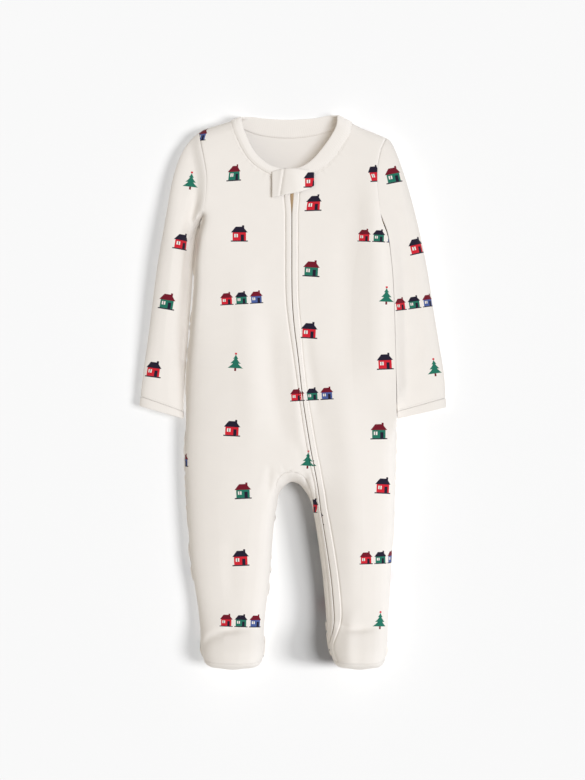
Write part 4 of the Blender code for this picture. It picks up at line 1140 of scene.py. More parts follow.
def sleeve_rings(side, places, detail=True):
    """Rings round a sleeve: along the back from the inner seam to the outer edge, then along the front."""
    outer_path, inner_path, outer_edge, inner_edge = sleeve_edges(side)
    armhole = smooth_path(side.armhole)[::-1]
    armhole_shares = np.interp(np.linspace(0, 1, SLEEVE_COLUMNS), np.linspace(0, 1, len(YOKE_ROWS)),
                               1 - YOKE_ROWS[::-1])
    rings = []
    for t in places:
        start, end = along(outer_path, t)[0], along(inner_path, t)[0]
        from_armhole = 1 - ease(t / SLEEVE_TOP)
        seam = float(read(SLEEVE_SECTIONS, 2, t))
        halves = []
        for front, (outer_roll, inner_roll) in ((True, (float(read(SLEEVE_SECTIONS, 3, t)),
                                                        float(read(SLEEVE_SECTIONS, side.roll_column, t)))),
                                                (False, (BACK_ROLL, BACK_ROLL))):
            width = np.linalg.norm(end - start)
            fit = min(1.0, 0.48 * width / max(outer_roll, inner_roll))
            place = sleeve_places(width, outer_roll * fit, inner_roll * fit)
            place = from_armhole * armhole_shares + (1 - from_armhole) * place
            bow = along(armhole, place) - between(armhole[0], armhole[-1], place)
            plan = between(start, end, place) + bow * (1 - ease(t / 0.10))
            crown = (from_armhole * read(BODY_SECTIONS, 3, plan[:, 1])
                     + (1 - from_armhole) * read(SLEEVE_SECTIONS, 1, t))
            low = np.full(len(plan), seam)
            if side is RIGHT:
                valley = VALLEY_SHARE * min(1.0, float(np.interp(t, *zip(*SLEEVE_INSETS))) / 3.0)
                low = seam * (1 - valley * hump(nearest(plan, inner_path)[0], VALLEY_HALF))
                from_seam = ease((nearest(plan, armhole)[0] - 0.5) / SLEEVE_STEP_WAY)
                crown = crown - SLEEVE_STEP * from_seam * (1 - ease((t - 0.1) / SLEEVE_TOP))
            if front and side is LEFT:
                beside = nearest(plan, inner_path)[0]
                level = ease(1 - beside / BESIDE_BODY) * ease((0.94 - t) / 0.12)
                crown = crown + (read(BODY_SECTIONS, 3, plan[:, 1]) - crown) * level
            if front:
                up = swell(plan, (outer_edge, inner_edge))
                height = low + (crown - low) * up
                if detail:
                    height += (folds(plan, FOLDS) + seam_dips(plan, SEAMS)) * np.minimum(1, up * FOLD_FADE)
            else:
                height = low * (1 - rise(plan, (outer_edge, inner_edge), BACK_ROLL))
            halves.append(np.column_stack([plan, np.maximum(height, LOWEST)]))
        rings.append(np.vstack([halves[1][::-1], halves[0][1:]]))
    return np.array(rings)


def sleeve_map(rings, side):
    """Cloth coordinates of a sleeve: its plan turned to the way it runs and unfolded at its outer edge."""
    plan = rings[:, :, :2]
    run = rings[0].mean(0)[:2] - rings[-1].mean(0)[:2]
    run /= np.linalg.norm(run)
    across = plan @ np.array([run[1], -run[0]])
    fold = across[:, SLEEVE_COLUMNS - 1:SLEEVE_COLUMNS]
    under = np.arange(rings.shape[1]) < SLEEVE_COLUMNS - 1
    across = np.where(under, 2 * fold - across, across)
    longer = over_cloth(rings) - over_cloth(plan)
    middle = SLEEVE_COLUMNS - 1 + SLEEVE_COLUMNS // 2
    across = across + (longer - longer[:, middle:middle + 1]) * (1 if side is RIGHT else -1)
    return np.dstack([across + SLEEVE_PRINT[side.name], plan @ run])


def cuff_map(rings, side):
    """Cloth coordinates round and along a cuff, measured from its outer edge."""
    across = over_cloth(rings)
    across = across - across[:, SLEEVE_COLUMNS - 1:SLEEVE_COLUMNS] - RIB_PLACE[0]
    down = lengths(rings[:, SLEEVE_COLUMNS - 1 + SLEEVE_COLUMNS // 2])
    return np.dstack([across * (1 if side is RIGHT else -1),
                      np.broadcast_to((RIB_PLACE[1] - down)[:, None], across.shape)])


def sleeve_piece(side, materials):
    places = np.concatenate([[0.0, 0.006, 0.014, 0.026], np.linspace(0.04, CUFF_SEAM - 0.012, 92),
                             [CUFF_SEAM - 0.007, CUFF_SEAM - 0.003, CUFF_SEAM]])
    length = lengths(smooth_path(side.sleeve_outer))[-1]
    at_cuff = hump((CUFF_SEAM - places[:, None]) * length, 1.3)
    rings = pushed_in(sleeve_rings(side, places), CUFF_TUCK * at_cuff)
    bm = bmesh.new()
    add_grid(bm, rings, sleeve_map(rings, side), flip=side is LEFT)
    return new_piece("sleeve_cloth_" + side.name, bm, materials, CLOTH_THICK)


def pushed_in(rings, amount):
    """Rings drawn towards their own middles."""
    centre = (rings.max(1, keepdims=True) + rings.min(1, keepdims=True)) / 2
    normal = facing(rings)
    outward = np.sign((normal * (rings - centre)).sum(2, keepdims=True).mean(1, keepdims=True))
    return rings - normal * outward * np.broadcast_to(amount, rings.shape[:2])[..., None]


def cuff_piece(side, materials):
    length = lengths(smooth_path(side.sleeve_outer))[-1]
    places = np.linspace(CUFF_SEAM + 0.001, 1.0 - CUFF_HALF / length, 12)
    rings = sleeve_rings(side, places, detail=False)
    at_seam = hump((places - CUFF_SEAM)[:, None] * length, 1.2)
    outer = pushed_in(rings, 0.6 * at_seam - 0.3)
    middle = pushed_in(rings, CUFF_HALF - CUFF_TUCK)
    last, direction = middle[-1], middle[-1] - middle[-2]
    direction = direction / np.linalg.norm(direction, axis=1, keepdims=True)
    radial = outer[-1] - last
    turn = [last + radial * math.cos(a) + direction * CUFF_HALF * math.sin(a) for a in FOLDED_EDGE]
    inner = pushed_in(rings, 2 * CUFF_HALF - CUFF_TUCK)[::-1]
    grid = np.concatenate([outer, np.array(turn), inner])
    bm = bmesh.new()
    add_grid(bm, grid, cuff_map(grid, side), flip=side is LEFT)
    return new_piece("cuff_cloth_" + side.name, bm, materials)


def neck_lines():
    """Seam and free edge of the neck band, from the zip round the back to the zip again, and each point's
    share in front."""
    front = 1 - np.cos(np.radians(np.linspace(0, 90, 48)))
    back = ((1 - np.cos(np.radians(np.linspace(0, 180, 64)))) / 2)[1:-1]
    stretches = ((NECK_SEAM_RIGHT, NECK_EDGE_RIGHT, front[::-1], body_front),
                 (BACK_NECK_SEAM, BACK_NECK_EDGE, back, body_back),
                 (NECK_SEAM_LEFT, NECK_EDGE_LEFT, front, body_front))
    seams, edges = [], []
    for seam, free, places, height in stretches:
        points = along(smooth_path(seam), places)
        seams.append(np.column_stack([points, height(points, False)]))
        edges.append(along(smooth_path(free), places))
    seams, edges = np.vstack(seams), np.vstack(edges)
    for end, sign in ((0, -1), (-1, 1)):
        seams[end, 0] += sign * 1.6
        edges[end, 0] += sign * 1.8
    lap = (hump(seams[:, 0] - SHOULDER_LAP[0], 9.0) * hump(seams[:, 1] - SHOULDER_LAP[1], 9.0))[:, None]
    outward = seams[:, :2] - edges
    seams[:, :2] += 1.3 * lap * outward / np.linalg.norm(outward, axis=1, keepdims=True)
    seams[:, 2:] += 1.0 * lap
    in_front = ease((seams[:, 2] - 11.0) / 10.0)
    free = np.column_stack([edges, seams[:, 2] - 1.5 * in_front + 1.0 * (1 - in_front)])
    seams[:, 2] = np.maximum(seams[:, 2] - 0.4, 0.9)
    return seams, free, in_front[None]


def neck_piece(materials):
    """The band is folded double: over its top, round its free edge and back underneath."""
    seams, free, in_front = neck_lines()
    share = np.linspace(0, 1, 22)
    middle = np.array([seams + (free - seams) * s for s in share])
    out = normals(middle)
    hidden = middle[:1] * 1.12 - free * 0.12
    hidden[:, :, 2] -= 1.0
    share, middle, out = np.append(0, share), np.vstack([hidden, middle]), np.vstack([out[:1], out])
    bulge = (0.7 * np.sin(np.pi * share) ** 0.7)[:, None] * (0.4 + 0.6 * in_front)
    bulge = bulge - 0.3 * hump(share - 0.2, 0.06)[:, None] * in_front
    bulge = bulge - 0.9 * hump(share - 0.5, 0.06)[:, None] * (1 - in_front)
    foot = 1 - 0.7 * hump(share * 9, 1.0)[:, None] * in_front
    top = middle + out * (bulge + NECK_HALF * foot)[..., None]
    reach = free - seams
    reach /= np.linalg.norm(reach, axis=1, keepdims=True)
    turn = [free + out[-1] * NECK_HALF * math.cos(a) + reach * NECK_HALF * math.sin(a) for a in FOLDED_EDGE]
    below = (middle - out * NECK_HALF)[::-1]
    grid = np.concatenate([top, np.array(turn), below, top[:1]])
    grid[:, :, 2] = np.maximum(grid[:, :, 2], 0.05)
    cloth = flat_lengths(grid.transpose(1, 0, 2), 0, x0=0.0).transpose(1, 0, 2)
    cloth = np.dstack([np.broadcast_to(lengths(free), grid.shape[:2]), cloth[:, :, 0]])
    bm = bmesh.new()
    add_grid(bm, grid, cloth)
    close_ends(bm)
    return new_piece("neck_band_cloth", bm, materials)


def close_ends(bm):
    """Closes the two short ends of a folded band."""
    bmesh.ops.holes_fill(bm, edges=[e for e in bm.edges if e.is_boundary], sides=0)
    bmesh.ops.recalc_face_normals(bm, faces=bm.faces)
    bmesh.ops.triangulate(bm, faces=[f for f in bm.faces if len(f.verts) > 4])


def sole_edge(outer, inner, rolls, bow):
    """The toe's or the heel's seam, from the side seam to the inside one."""
    even = np.linspace(0, 1, SOLE_COLUMNS + 1)
    line = between(outer, inner, 0.5 * (row_shares(SOLE_WIDTH, SOLE_COLUMNS, *rolls) + even))
    place = (np.linalg.norm(line - outer, axis=1) / np.linalg.norm(inner - outer)) * 2 - 1
    line[:, 1] += bow * (1 - place ** 4)
    return line


def sole_piece(side, materials):
    """Joins the toe's seam, on the front, to the heel's, on the back, with a rounded end."""
    outer = np.array([read(BODY_SECTIONS, side.column, TOE_Y), TOE_Y])
    inner = np.array([read(INSEAMS, side.column, TOE_Y), TOE_Y])
    upper = sole_edge(outer, inner, (float(read(BODY_SECTIONS, 5, TOE_Y)), GUSSET_ROLL), -TOE_BOW)
    lower = sole_edge(outer, inner, (BACK_ROLL, BACK_ROLL), HEEL_BOW)
    top = np.column_stack([upper, body_front(upper)])
    bottom = np.column_stack([lower, np.maximum(body_back(lower, False), 0.3)])
    down = (1 - np.cos(np.pi * np.linspace(0, 1, SOLE_ROWS))) / 2
    across = np.linspace(0, 1, SOLE_COLUMNS + 1)
    grid = np.array([top + (bottom - top) * share for share in down])
    grid[:, :, 1] -= SOLE_PUFF * np.sin(np.pi * down)[:, None] ** 0.7 * np.sin(np.pi * across)[None] ** 0.6
    grid = tuck(grid, left=True, right=True, top=True, bottom=True, reach=1.3)
    cloth = flat_lengths(grid, SOLE_COLUMNS // 2)
    cloth[:, :, 1] += SOLE_PRINT
    bm = bmesh.new()
    add_grid(bm, grid, cloth, flip=side is LEFT)
    return new_piece("sole_cloth_" + side.name, bm, materials, CLOTH_THICK)


def below_cuff(grid):
    return ease((-25.0 - grid[:, :1, 1]) / 20.0)


def fronts(look):
    main, strip, body_rows = front_right_grids()
    main_map, strip_map = front_maps(main, strip, body_rows)
    main = tuck(main, left=below_cuff(main), bottom=True)
    bm = bmesh.new()
    add_grid(bm, main, main_map)
    add_grid(bm, strip, strip_map)
    right = new_piece("front_cloth_right", bm, cloth_materials(look), CLOTH_THICK)
    grid = front_left_grids()
    cloth = flat_lengths(grid, FRONT_ANCHOR)
    bend = tuck(grid[:, ::-1], right=below_cuff(grid), bottom=True)[:, ::-1]
    bm = bmesh.new()
    add_grid(bm, bend, mirrored(cloth, grid, FRONT_ANCHOR), flip=True)
    left = new_piece("front_cloth_left", bm, cloth_materials(look), CLOTH_THICK)
    return right, left


def mirrored(cloth, grid, anchor):
    """A cloth map whose first direction runs the other way from its anchor column."""
    cloth = cloth.copy()
    cloth[:, :, 0] = 2 * grid[:, anchor:anchor + 1, 0] - cloth[:, :, 0]
    return cloth


def back_piece(look):
    bm = bmesh.new()
    right, left = back_grids()
    anchor = BACK_COLUMNS
    for grid, flip in ((right, True), (left, False)):
        cloth = flat_lengths(grid, anchor, x0=0.0)
        cloth[:, :, 0] = -cloth[:, :, 0] if not flip else cloth[:, :, 0]
        cloth[:, :, 0] = 260.0 - cloth[:, :, 0]
        add_grid(bm, tucked_back(grid), cloth, flip=flip)
    return new_piece("back_cloth", bm, cloth_materials(look), CLOTH_THICK)


def tucked_back(grid):
    """The back's side seams drawn in; its own normals face down."""
    normal = facing(grid)
    normal *= -np.sign(normal[:, grid.shape[1] // 2, 2])[:, None, None]
    moved = grid - normal * (SEAM_TUCK * hump(over_cloth(grid), SEAM_REACH))[..., None]
    moved[:, :, 2] = np.maximum(moved[:, :, 2], LOWEST)
    return moved


def cloth_materials(look):
    return [material("printed knit", lambda name: knit_material(name, look, True)),
            material("knit inside", lambda name: knit_material(name, look, False, darker=0.97))]


def rib_materials():
    return [material("rib knit", lambda name: rib_material(name, looks()))]


def slider_material(look):
    return material("slider", lambda name: smooth_material(name, look.slider, 0.4))


def material(name, make):
    """The material of that name, made the first time that it is asked for."""
    found = bpy.data.materials.get(name)
    return found if found else make(name)


def point_at(points, length, at):
    """The place that is so far along a line, by the lengths of its points."""
    return np.array([np.interp(at, length, points[:, k]) for k in range(3)])


def stitch_row(bm, points, ups, pitch=2.6, size=(1.7, 0.42, 0.34)):
    """Small oval stitches along a line on the cloth: points and their surface normals."""
    length = lengths(points)
    oval = Matrix.Diagonal([s * MM / 2 for s in size] + [1.0])
    for at in (np.arange(int(length[-1] / pitch)) + 0.5) * pitch:
        place = point_at(points, length, at)
        forward = Vector(point_at(points, length, at + 0.8) - place)
        if forward.length < 1e-6:
            continue
        forward.normalize()
        side = Vector(point_at(ups, length, at)).normalized().cross(forward).normalized()
        turn = Matrix((forward, side, forward.cross(side))).transposed().to_4x4()
        matrix = Matrix.Translation(world(*place)) @ turn @ oval
        bmesh.ops.create_icosphere(bm, subdivisions=1, radius=1.0, matrix=matrix)


def on_front(line, up=0.0):
    """A plan line laid on the fronts, with the surface's normals there."""
    line = np.array(line, float)
    flat = np.column_stack([line, body_front(line)])
    dx = body_front(line + [0.5, 0]) - body_front(line - [0.5, 0])
    dy = body_front(line + [0, 0.5]) - body_front(line - [0, 0.5])
    normal = np.column_stack([-dx, -dy, np.ones(len(line))])
    normal /= np.linalg.norm(normal, axis=1, keepdims=True)
    return flat + normal * up, normal


def offset_line(path, amount):
    """The plan line at a distance to the left of a path."""
    step = np.gradient(path, axis=0)
    step /= np.linalg.norm(step, axis=1, keepdims=True)
    return path + amount * np.column_stack([-step[:, 1], step[:, 0]])


def welt_line(sign, column, y):
    """The stitch line of one welt, on its raised top."""
    centre = slit(y)
    width = read(ZIP, column, y)
    gap = half_opening(y)
    beside = width - 1.3
    line = centre + np.column_stack([sign * (beside + gap), np.zeros(len(y))])
    points, normal = on_front(line)
    points[:, 2] += welt_height(beside, width, y, column) + 0.05
    return points, normal


def stitches_piece(look):
    bm = bmesh.new()
    y = np.linspace(ZIP_TOP, -262.0, 220)
    for sign, column in ((-1, 2), (1, 3)):
        points, normal = welt_line(sign, column, y)
        stitch_row(bm, points, normal, 2.7, (1.8, 0.42, 0.3))
    for path, inward in ((smooth_path(NECK_SEAM_RIGHT), 2.6), (smooth_path(NECK_SEAM_LEFT), -2.6)):
        line = offset_line(path, -inward)[3:-3]
        points, normal = on_front(line, 0.05)
        stitch_row(bm, points, normal, 2.5, (1.6, 0.4, 0.3))
    for side in (RIGHT, LEFT):
        length = lengths(smooth_path(side.sleeve_outer))[-1]
        rings = sleeve_rings(side, [CUFF_SEAM - 2.6 / length, CUFF_SEAM - 1.6 / length])
        ring = rings[0, SLEEVE_COLUMNS - 1:]
        centre = rings[0].mean(0)
        normal = np.column_stack([(ring - centre)[:, 0] * 0.3, np.zeros(len(ring)),
                                  np.abs(ring[:, 2] - centre[2]) + 1])
        normal /= np.linalg.norm(normal, axis=1, keepdims=True)
        stitch_row(bm, ring[4:-4], normal[4:-4], 2.5, (1.6, 0.4, 0.3))
    return new_piece("seam_stitches", bm, [material("thread", lambda name: smooth_material(
        name, tuple(c * 0.9 for c in look.cloth), 0.75))])


def under_guard(y):
    """1 where the slit spreads and shows the zip, 0 where its edges meet."""
    return ease((np.asarray(y) - 192.0) / 26.0)


def tape_piece(look):
    y = np.linspace(238.0, -270.0, 260)
    centre = slit(y)
    beside_leg = centre[:, 0] - read(INSEAMS, 2, y) - 2.2
    right_half = np.minimum(6.0, np.where(y < -116.0, beside_leg, 6.0))
    grid = []
    for at in np.linspace(0, 1, 11):
        line = centre + np.column_stack([-right_half + (right_half + 6.0) * at, np.zeros(len(y))])
        points, normal = on_front(line)
        grid.append(points - normal * (2.6 - 2.4 * under_guard(y))[:, None])
    grid = np.array(grid).transpose(1, 0, 2)
    bm = bmesh.new()
    add_grid(bm, grid, flat_lengths(grid, 5, x0=0.0))
    return new_piece("zip_tape_cloth", bm, [material("zip tape", lambda name: woven_material(
        name, tuple(look.tape)))], TAPE_THICK)


def teeth_piece(look):
    y = np.linspace(232.0, -256.0, 300)
    bm = bmesh.new()
    for side, start in ((-1, 1.05), (1, 0.35)):
        points, normal = on_front(slit(y) + [side * 0.75, 0])
        points = points - normal * (2.1 - 2.2 * under_guard(y))[:, None]
        length = lengths(points)
        for at in np.arange(start, length[-1], TEETH_APART):
            size = Matrix.Diagonal((1.25 * MM, 0.42 * MM, 0.5 * MM, 1.0))
            matrix = Matrix.Translation(world(*point_at(points, length, at))) @ size
            bmesh.ops.create_icosphere(bm, subdivisions=1, radius=1.0, matrix=matrix)
    return new_piece("zip_teeth", bm, [material("zip teeth", lambda name: smooth_material(
        name, tuple(c * 1.1 for c in look.tape), 0.45))])


def guard_grid():
    """The guard's rows, from its upper edge down: it arches over the slider and is folded at its end."""
    table = smooth_path(GUARD_SECTIONS, 7)
    share = np.linspace(1, 0, GUARD_ROWS)
    plan = np.array([np.column_stack([table[:, 0],
                                      table[:, 1] + (table[:, 2] - table[:, 1]) * up]) for up in share])
    base = lift(plan, lambda points: body_front(points, False))
    round_edge = 1 - 0.12 * (2 * share - 1) ** 8
    grid = moved_out(base, table[:, 3][None] * round_edge[:, None] + 1.2)
    x, y = plan[:, :, 0], plan[:, :, 1]
    fold = GUARD_FOLD_X + (y - 230.0) * 0.16
    grid[:, :, 2] -= 0.9 * hump(x - fold, 1.0)
    grid[:, :, 2] += 0.5 * ease((fold - x) / 2.0)
    grid[:, :, 2] += 0.25 * np.sin(x / 3.4 + y / 9.0) * hump(x - 6.0, 12.0)
    return grid


def guard_piece(look):
    grid = guard_grid()
    cloth = flat_lengths(grid, grid.shape[1] // 2)
    cloth += np.array(look.guard_print) / MM
    bm = bmesh.new()
    add_grid(bm, grid, cloth)
    return new_piece("zip_guard_cloth", bm, [cloth_materials(look)[0]], GUARD_THICK, 0.0)


def pull_piece(look):
    """The slider's small pull, tucked up under the guard."""
    place, _ = on_front(np.array([[float(slit([ZIP_TOP])[0, 0]), 237.5]]), 0.0)
    bm = bmesh.new()
    bmesh.ops.create_cube(bm, size=1.0)
    bmesh.ops.scale(bm, vec=(5.0 * MM, 9.0 * MM, 1.0 * MM), verts=bm.verts)
    bmesh.ops.bevel(bm, geom=bm.edges, offset=0.45 * MM, segments=2, profile=0.5, affect="EDGES", material=-1)
    bmesh.ops.translate(bm, vec=world(*(place[0] + [0, 0, 2.2])), verts=bm.verts)
    return new_piece("slider_pull", bm, [slider_material(look)])


# ---------------------------------------------------------------- settings
class SleepsuitLook(bpy.types.PropertyGroup):
    """Colours, finish and print of the sleepsuit."""

    cloth: FloatVectorProperty(name="Cloth", description="Colour of the knitted cotton", subtype="COLOR",
                               size=3,
                               default=(0.855, 0.810, 0.757), min=0.0, max=1.0)
    roughness: FloatProperty(name="Roughness", description="How matt the cloth is", default=0.88, min=0.0,
                             max=1.0)
    knit: FloatProperty(name="Knit relief", description="Strength of the knit's fine relief", default=0.08,
                        min=0.0, max=1.0)
    red: FloatVectorProperty(name="Red", description="Red of the print", subtype="COLOR", size=3,
                             default=linear((205, 32, 48)), min=0.0, max=1.0)
    green: FloatVectorProperty(name="Green", description="Green of the print", subtype="COLOR", size=3,
                               default=linear((32, 112, 92)), min=0.0, max=1.0)
    blue: FloatVectorProperty(name="Blue", description="Blue of the print", subtype="COLOR", size=3,
                              default=linear((72, 92, 150)), min=0.0, max=1.0)
    maroon: FloatVectorProperty(name="Maroon", description="Dark red of the print's roofs", subtype="COLOR",
                                size=3,
                                default=linear((112, 16, 36)), min=0.0, max=1.0)
    navy: FloatVectorProperty(name="Navy", description="Darkest colour of the print", subtype="COLOR", size=3,
                              default=linear((30, 24, 44)), min=0.0, max=1.0)
    repeat_width: FloatProperty(name="Print spacing across",
                                description="Distance between the print's columns",
                                default=0.080, min=0.03, unit="LENGTH")
    repeat_height: FloatProperty(name="Print spacing along", description="Distance between a column's motifs",
                                 default=0.072, min=0.03, unit="LENGTH")
    guard_print: FloatVectorProperty(name="Guard print place",
                                     description="Where the guard is cut from the print",
                                     size=2, default=(0.079, 0.0075), unit="LENGTH")
    tape: FloatVectorProperty(name="Zip tape", description="Colour of the zip's tape", subtype="COLOR",
                              size=3,
                              default=linear((196, 168, 132)), min=0.0, max=1.0)
    slider: FloatVectorProperty(name="Slider", description="Colour of the zip's slider", subtype="COLOR",
                                size=3,
                                default=linear((232, 226, 214)), min=0.0, max=1.0)


class StageLook(bpy.types.PropertyGroup):
    """Floor, light and camera."""

    floor: FloatVectorProperty(name="Floor", description="Colour of the surface that the suit lies on",
                               subtype="COLOR", size=3, default=(0.8, 0.8, 0.8), min=0.0, max=1.0)
    fill: FloatProperty(name="Fill", description="Strength of the even light from all round", default=0.178,
                        min=0.0)
    top: FloatProperty(name="Top",
                       description="Strength of the broad light from above that only the suit receives",
                       default=1.077, min=0.0)
    key: FloatProperty(name="Key", description="Strength of the soft light from the right", default=2.0,
                       min=0.0)
    sleeve_key: FloatProperty(name="Sleeve key", description="The same light, higher, for the sleeves",
                              default=1.72, min=0.0)
    neck_key: FloatProperty(name="Neck key",
                            description="The same light, higher, for the back inside the neck",
                            default=1.9, min=0.0)
    floor_key: FloatProperty(name="Floor key",
                             description="Strength of the low light that only the floor receives",
                             default=2.12, min=0.0)
    leg_key: FloatProperty(name="Leg shade",
                           description="Strength of the floor's light that only the left leg shades",
                           default=3.42, min=0.0)
    height: FloatProperty(name="Camera height", description="From the floor up to the camera", default=3.5,
                          unit="LENGTH")
    lens: FloatProperty(name="Lens", description="Focal length in millimetres", default=143.7, min=1.0)


def looks():
    return bpy.context.scene.sleepsuit_look


def stands_for(piece, node):
    """Puts a piece of cloth on the suit in place of its plain solid."""
    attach(piece, "root")
    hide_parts(node)


# ---------------------------------------------------------------- operators
class SLEEPSUIT_OT_fronts(bpy.types.Operator):
    """Builds both printed fronts with their zip welts"""
    bl_idname = "sleepsuit.fronts"
    bl_label = "Fronts"

    def execute(self, context):
        right, left = fronts(looks())
        for piece, node in ((right, "front_right"), (left, "front_left")):
            stands_for(piece, node)
            laid(piece)
        return {"FINISHED"}


class SLEEPSUIT_OT_back(bpy.types.Operator):
    """Builds the printed back"""
    bl_idname = "sleepsuit.back"
    bl_label = "Back"

    def execute(self, context):
        piece = back_piece(looks())
        stands_for(piece, "back")
        laid(piece)
        return {"FINISHED"}


class SLEEPSUIT_OT_gusset(bpy.types.Operator):
    """Builds the gusset between the legs"""
    bl_idname = "sleepsuit.gusset"
    bl_label = "Gusset"

    def execute(self, context):
        bm = bmesh.new()
        grid = tuck(gusset_grid(), top=True, depth=0.12)
        add_grid(bm, grid, flat_lengths(grid, grid.shape[1] // 2))
        piece = new_piece("gusset_cloth", bm, [cloth_materials(looks())[1]], CLOTH_THICK)
        stands_for(piece, "gusset")
        laid(piece, GUSSET_CUT)
        return {"FINISHED"}


class SLEEPSUIT_OT_sleeves(bpy.types.Operator):
    """Builds the sleeves and their cuffs"""
    bl_idname = "sleepsuit.sleeves"
    bl_label = "Sleeves"

    def execute(self, context):
        for side in (RIGHT, LEFT):
            for piece, node in ((sleeve_piece(side, cloth_materials(looks())), "sleeve_"),
                                (cuff_piece(side, rib_materials()), "cuff_")):
                stands_for(piece, node + side.name)
                laid(piece)
        return {"FINISHED"}


class SLEEPSUIT_OT_neck(bpy.types.Operator):
    """Builds the ribbed neck band"""
    bl_idname = "sleepsuit.neck"
    bl_label = "Neck band"

    def execute(self, context):
        piece = neck_piece(rib_materials())
        stands_for(piece, "neck_band")
        laid(piece, folded=2)
        return {"FINISHED"}


class SLEEPSUIT_OT_soles(bpy.types.Operator):
    """Builds the soles that close the feet"""
    bl_idname = "sleepsuit.soles"
    bl_label = "Soles"

    def execute(self, context):
        for side in (RIGHT, LEFT):
            piece = sole_piece(side, cloth_materials(looks()))
            stands_for(piece, "sole_" + side.name)
            laid(piece)
        return {"FINISHED"}


class SLEEPSUIT_OT_zip(bpy.types.Operator):
    """Builds the zip's tape and teeth, its guard and pull, and dresses the slider"""
    bl_idname = "sleepsuit.zip"
    bl_label = "Zip"

    def execute(self, context):
        look = looks()
        tape, teeth, guard, pull = tape_piece(look), teeth_piece(look), guard_piece(look), pull_piece(look)
        for piece in (tape, teeth, guard, pull):
            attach(piece, "root")
        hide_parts("zip_tape")
        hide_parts("zip_guard")
        laid(tape)
        laid(guard)
        slider = frame["nodes"]["zip_slider"]
        slider.data.materials.clear()
        slider.data.materials.append(slider_material(look))
        return {"FINISHED"}


class SLEEPSUIT_OT_stitches(bpy.types.Operator):
    """Sews the welts, the neck and the cuffs with visible stitches"""
    bl_idname = "sleepsuit.stitches"
    bl_label = "Stitches"

    def execute(self, context):
        piece = stitches_piece(looks())
        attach(piece, "root")
        return {"FINISHED"}


class SLEEPSUIT_OT_stage(bpy.types.Operator):
    """Sets the floor, the light and the camera"""
    bl_idname = "sleepsuit.stage"
    bl_label = "Stage"

    def execute(self, context):
        set_stage(context.scene.sleepsuit_stage)
        return {"FINISHED"}


def set_stage(stage):
    bm = bmesh.new()
    bmesh.ops.create_grid(bm, x_segments=1, y_segments=1, size=FLOOR_HALF)
    floor = new_piece("floor", bm, [floor_material(stage)])
    floor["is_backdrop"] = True
    set_world(stage)
    groups = light_groups(floor)
    for lamp in lamps(stage):
        add_lamp(groups, *lamp)
    set_camera(stage)


def set_world(stage):
    world_light = bpy.data.worlds.new("studio")
    world_light.use_nodes = True
    background = world_light.node_tree.nodes["Background"]
    background.inputs["Color"].default_value = (1.0, 1.0, 1.0, 1.0)
    background.inputs["Strength"].default_value = stage.fill
    bpy.context.scene.world = world_light


def light_groups(floor):
    """The groups of pieces that a lamp may be kept to."""
    inside = [bpy.data.objects[name] for name in IN_NECK]
    sleeves = [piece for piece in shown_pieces() if piece.name.startswith(("sleeve_", "cuff_"))]
    outside = [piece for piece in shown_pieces() if piece not in inside + sleeves]
    groups = {}
    for name, members in (("floor only", [floor]), ("body only", outside), ("neck only", inside),
                          ("sleeves only", sleeves), ("suit only", outside + sleeves),
                          ("left leg only", [bpy.data.objects[name] for name in LEFT_LEG])):
        groups[name] = bpy.data.collections.new(name)
        for piece in members:
            groups[name].objects.link(piece)
    return groups


def lamps(stage):
    """Each lamp's name, the side that it shines from, its spread in degrees, its strength and colour, the
    group that it lights, and the group that alone casts shadows in it."""
    white, cool, warm = (1.0, 1.0, 1.0), (0.94, 1.0, 1.1), (1.1, 1.0, 0.85)
    return (("key", (0.7, -0.1, 1.0), 30.0, stage.key, cool, "body only", None),
            ("sleeve key", (0.3, -0.1, 1.0), 24.0, stage.sleeve_key, cool, "sleeves only", None),
            ("neck key", (1.0, 0.4, 2.0), 30.0, stage.neck_key, cool, "neck only", None),
            ("top", (0.0, 0.0, 1.0), 150.0, stage.top, warm, "suit only", None),
            ("neck top", (0.0, 0.0, 1.0), 150.0, stage.top, warm, "neck only", "floor only"),
            ("floor key", (1.0, -0.15, 1.1), 22.0, stage.floor_key, white, "floor only", None),
            ("leg shade", (1.0, -0.05, 0.53), 14.0, stage.leg_key, white, "floor only", "left leg only"))


def add_lamp(groups, name, place, spread, power, colour, lit, shading):
    lamp = bpy.data.lights.new(name, "SUN")
    lamp.angle, lamp.energy, lamp.color = math.radians(spread), power, colour
    holder = bpy.data.objects.new(name, lamp)
    bpy.context.scene.collection.objects.link(holder)
    holder.location = place
    holder.rotation_euler = (-Vector(place)).to_track_quat("-Z", "Y").to_euler()
    holder.light_linking.receiver_collection = groups[lit]
    if shading:
        holder.light_linking.blocker_collection = groups[shading]


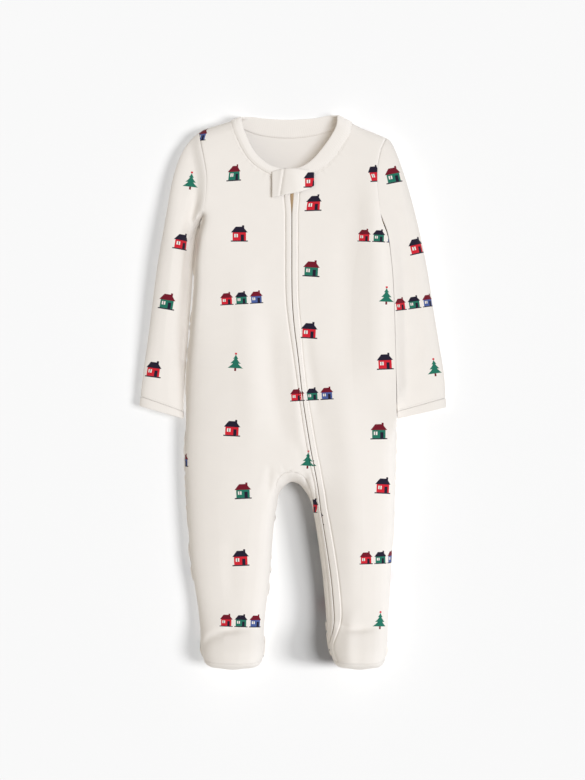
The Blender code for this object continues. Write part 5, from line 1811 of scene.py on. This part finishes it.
def set_camera(stage):
    scene = bpy.context.scene
    camera = bpy.data.objects.new("camera", bpy.data.cameras.new("camera"))
    scene.collection.objects.link(camera)
    camera.data.lens = stage.lens
    camera.data.sensor_width = 36.0
    camera.data.sensor_fit = "AUTO"
    camera.data.clip_end = 20.0
    camera.location = (-0.00031, 0.00189, stage.height)
    scene.camera = camera
    scene.view_settings.view_transform = "Standard"
    scene.view_settings.look = "None"


def floor_material(stage):
    graph = Graph("floor")
    mottle = graph.noise(graph.object_place(), 3.0, 1.0)
    colour = graph.blend(mottle, tuple(stage.floor), tuple(c * 0.998 for c in stage.floor))
    return graph.finish(colour, 0.9, specular=0.1)


class SLEEPSUIT_PT_panel(bpy.types.Panel):
    """Sleepsuit settings and steps"""
    bl_idname = "SLEEPSUIT_PT_panel"
    bl_label = "Sleepsuit"
    bl_space_type = "VIEW_3D"
    bl_region_type = "UI"
    bl_category = "Sleepsuit"

    def draw(self, context):
        for group in (context.scene.sleepsuit_look, context.scene.sleepsuit_stage):
            box = self.layout.box()
            for name in group.__annotations__:
                box.prop(group, name)
        for step in STEPS:
            self.layout.operator(step.bl_idname)


STEPS = (SLEEPSUIT_OT_back, SLEEPSUIT_OT_fronts, SLEEPSUIT_OT_gusset, SLEEPSUIT_OT_sleeves, SLEEPSUIT_OT_neck,
         SLEEPSUIT_OT_soles, SLEEPSUIT_OT_zip, SLEEPSUIT_OT_stitches, SLEEPSUIT_OT_stage)
CLASSES = (SleepsuitLook, StageLook) + STEPS + (SLEEPSUIT_PT_panel,)


def register():
    for cls in CLASSES:
        bpy.utils.register_class(cls)
    bpy.types.Scene.sleepsuit_look = PointerProperty(type=SleepsuitLook)
    bpy.types.Scene.sleepsuit_stage = PointerProperty(type=StageLook)


def unregister():
    del bpy.types.Scene.sleepsuit_look
    del bpy.types.Scene.sleepsuit_stage
    for cls in reversed(CLASSES):
        bpy.utils.unregister_class(cls)


def main():
    register()
    for step in STEPS:
        group, name = step.bl_idname.split(".")
        getattr(getattr(bpy.ops, group), name)()
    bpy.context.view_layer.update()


if __name__ == "__main__":
    main()
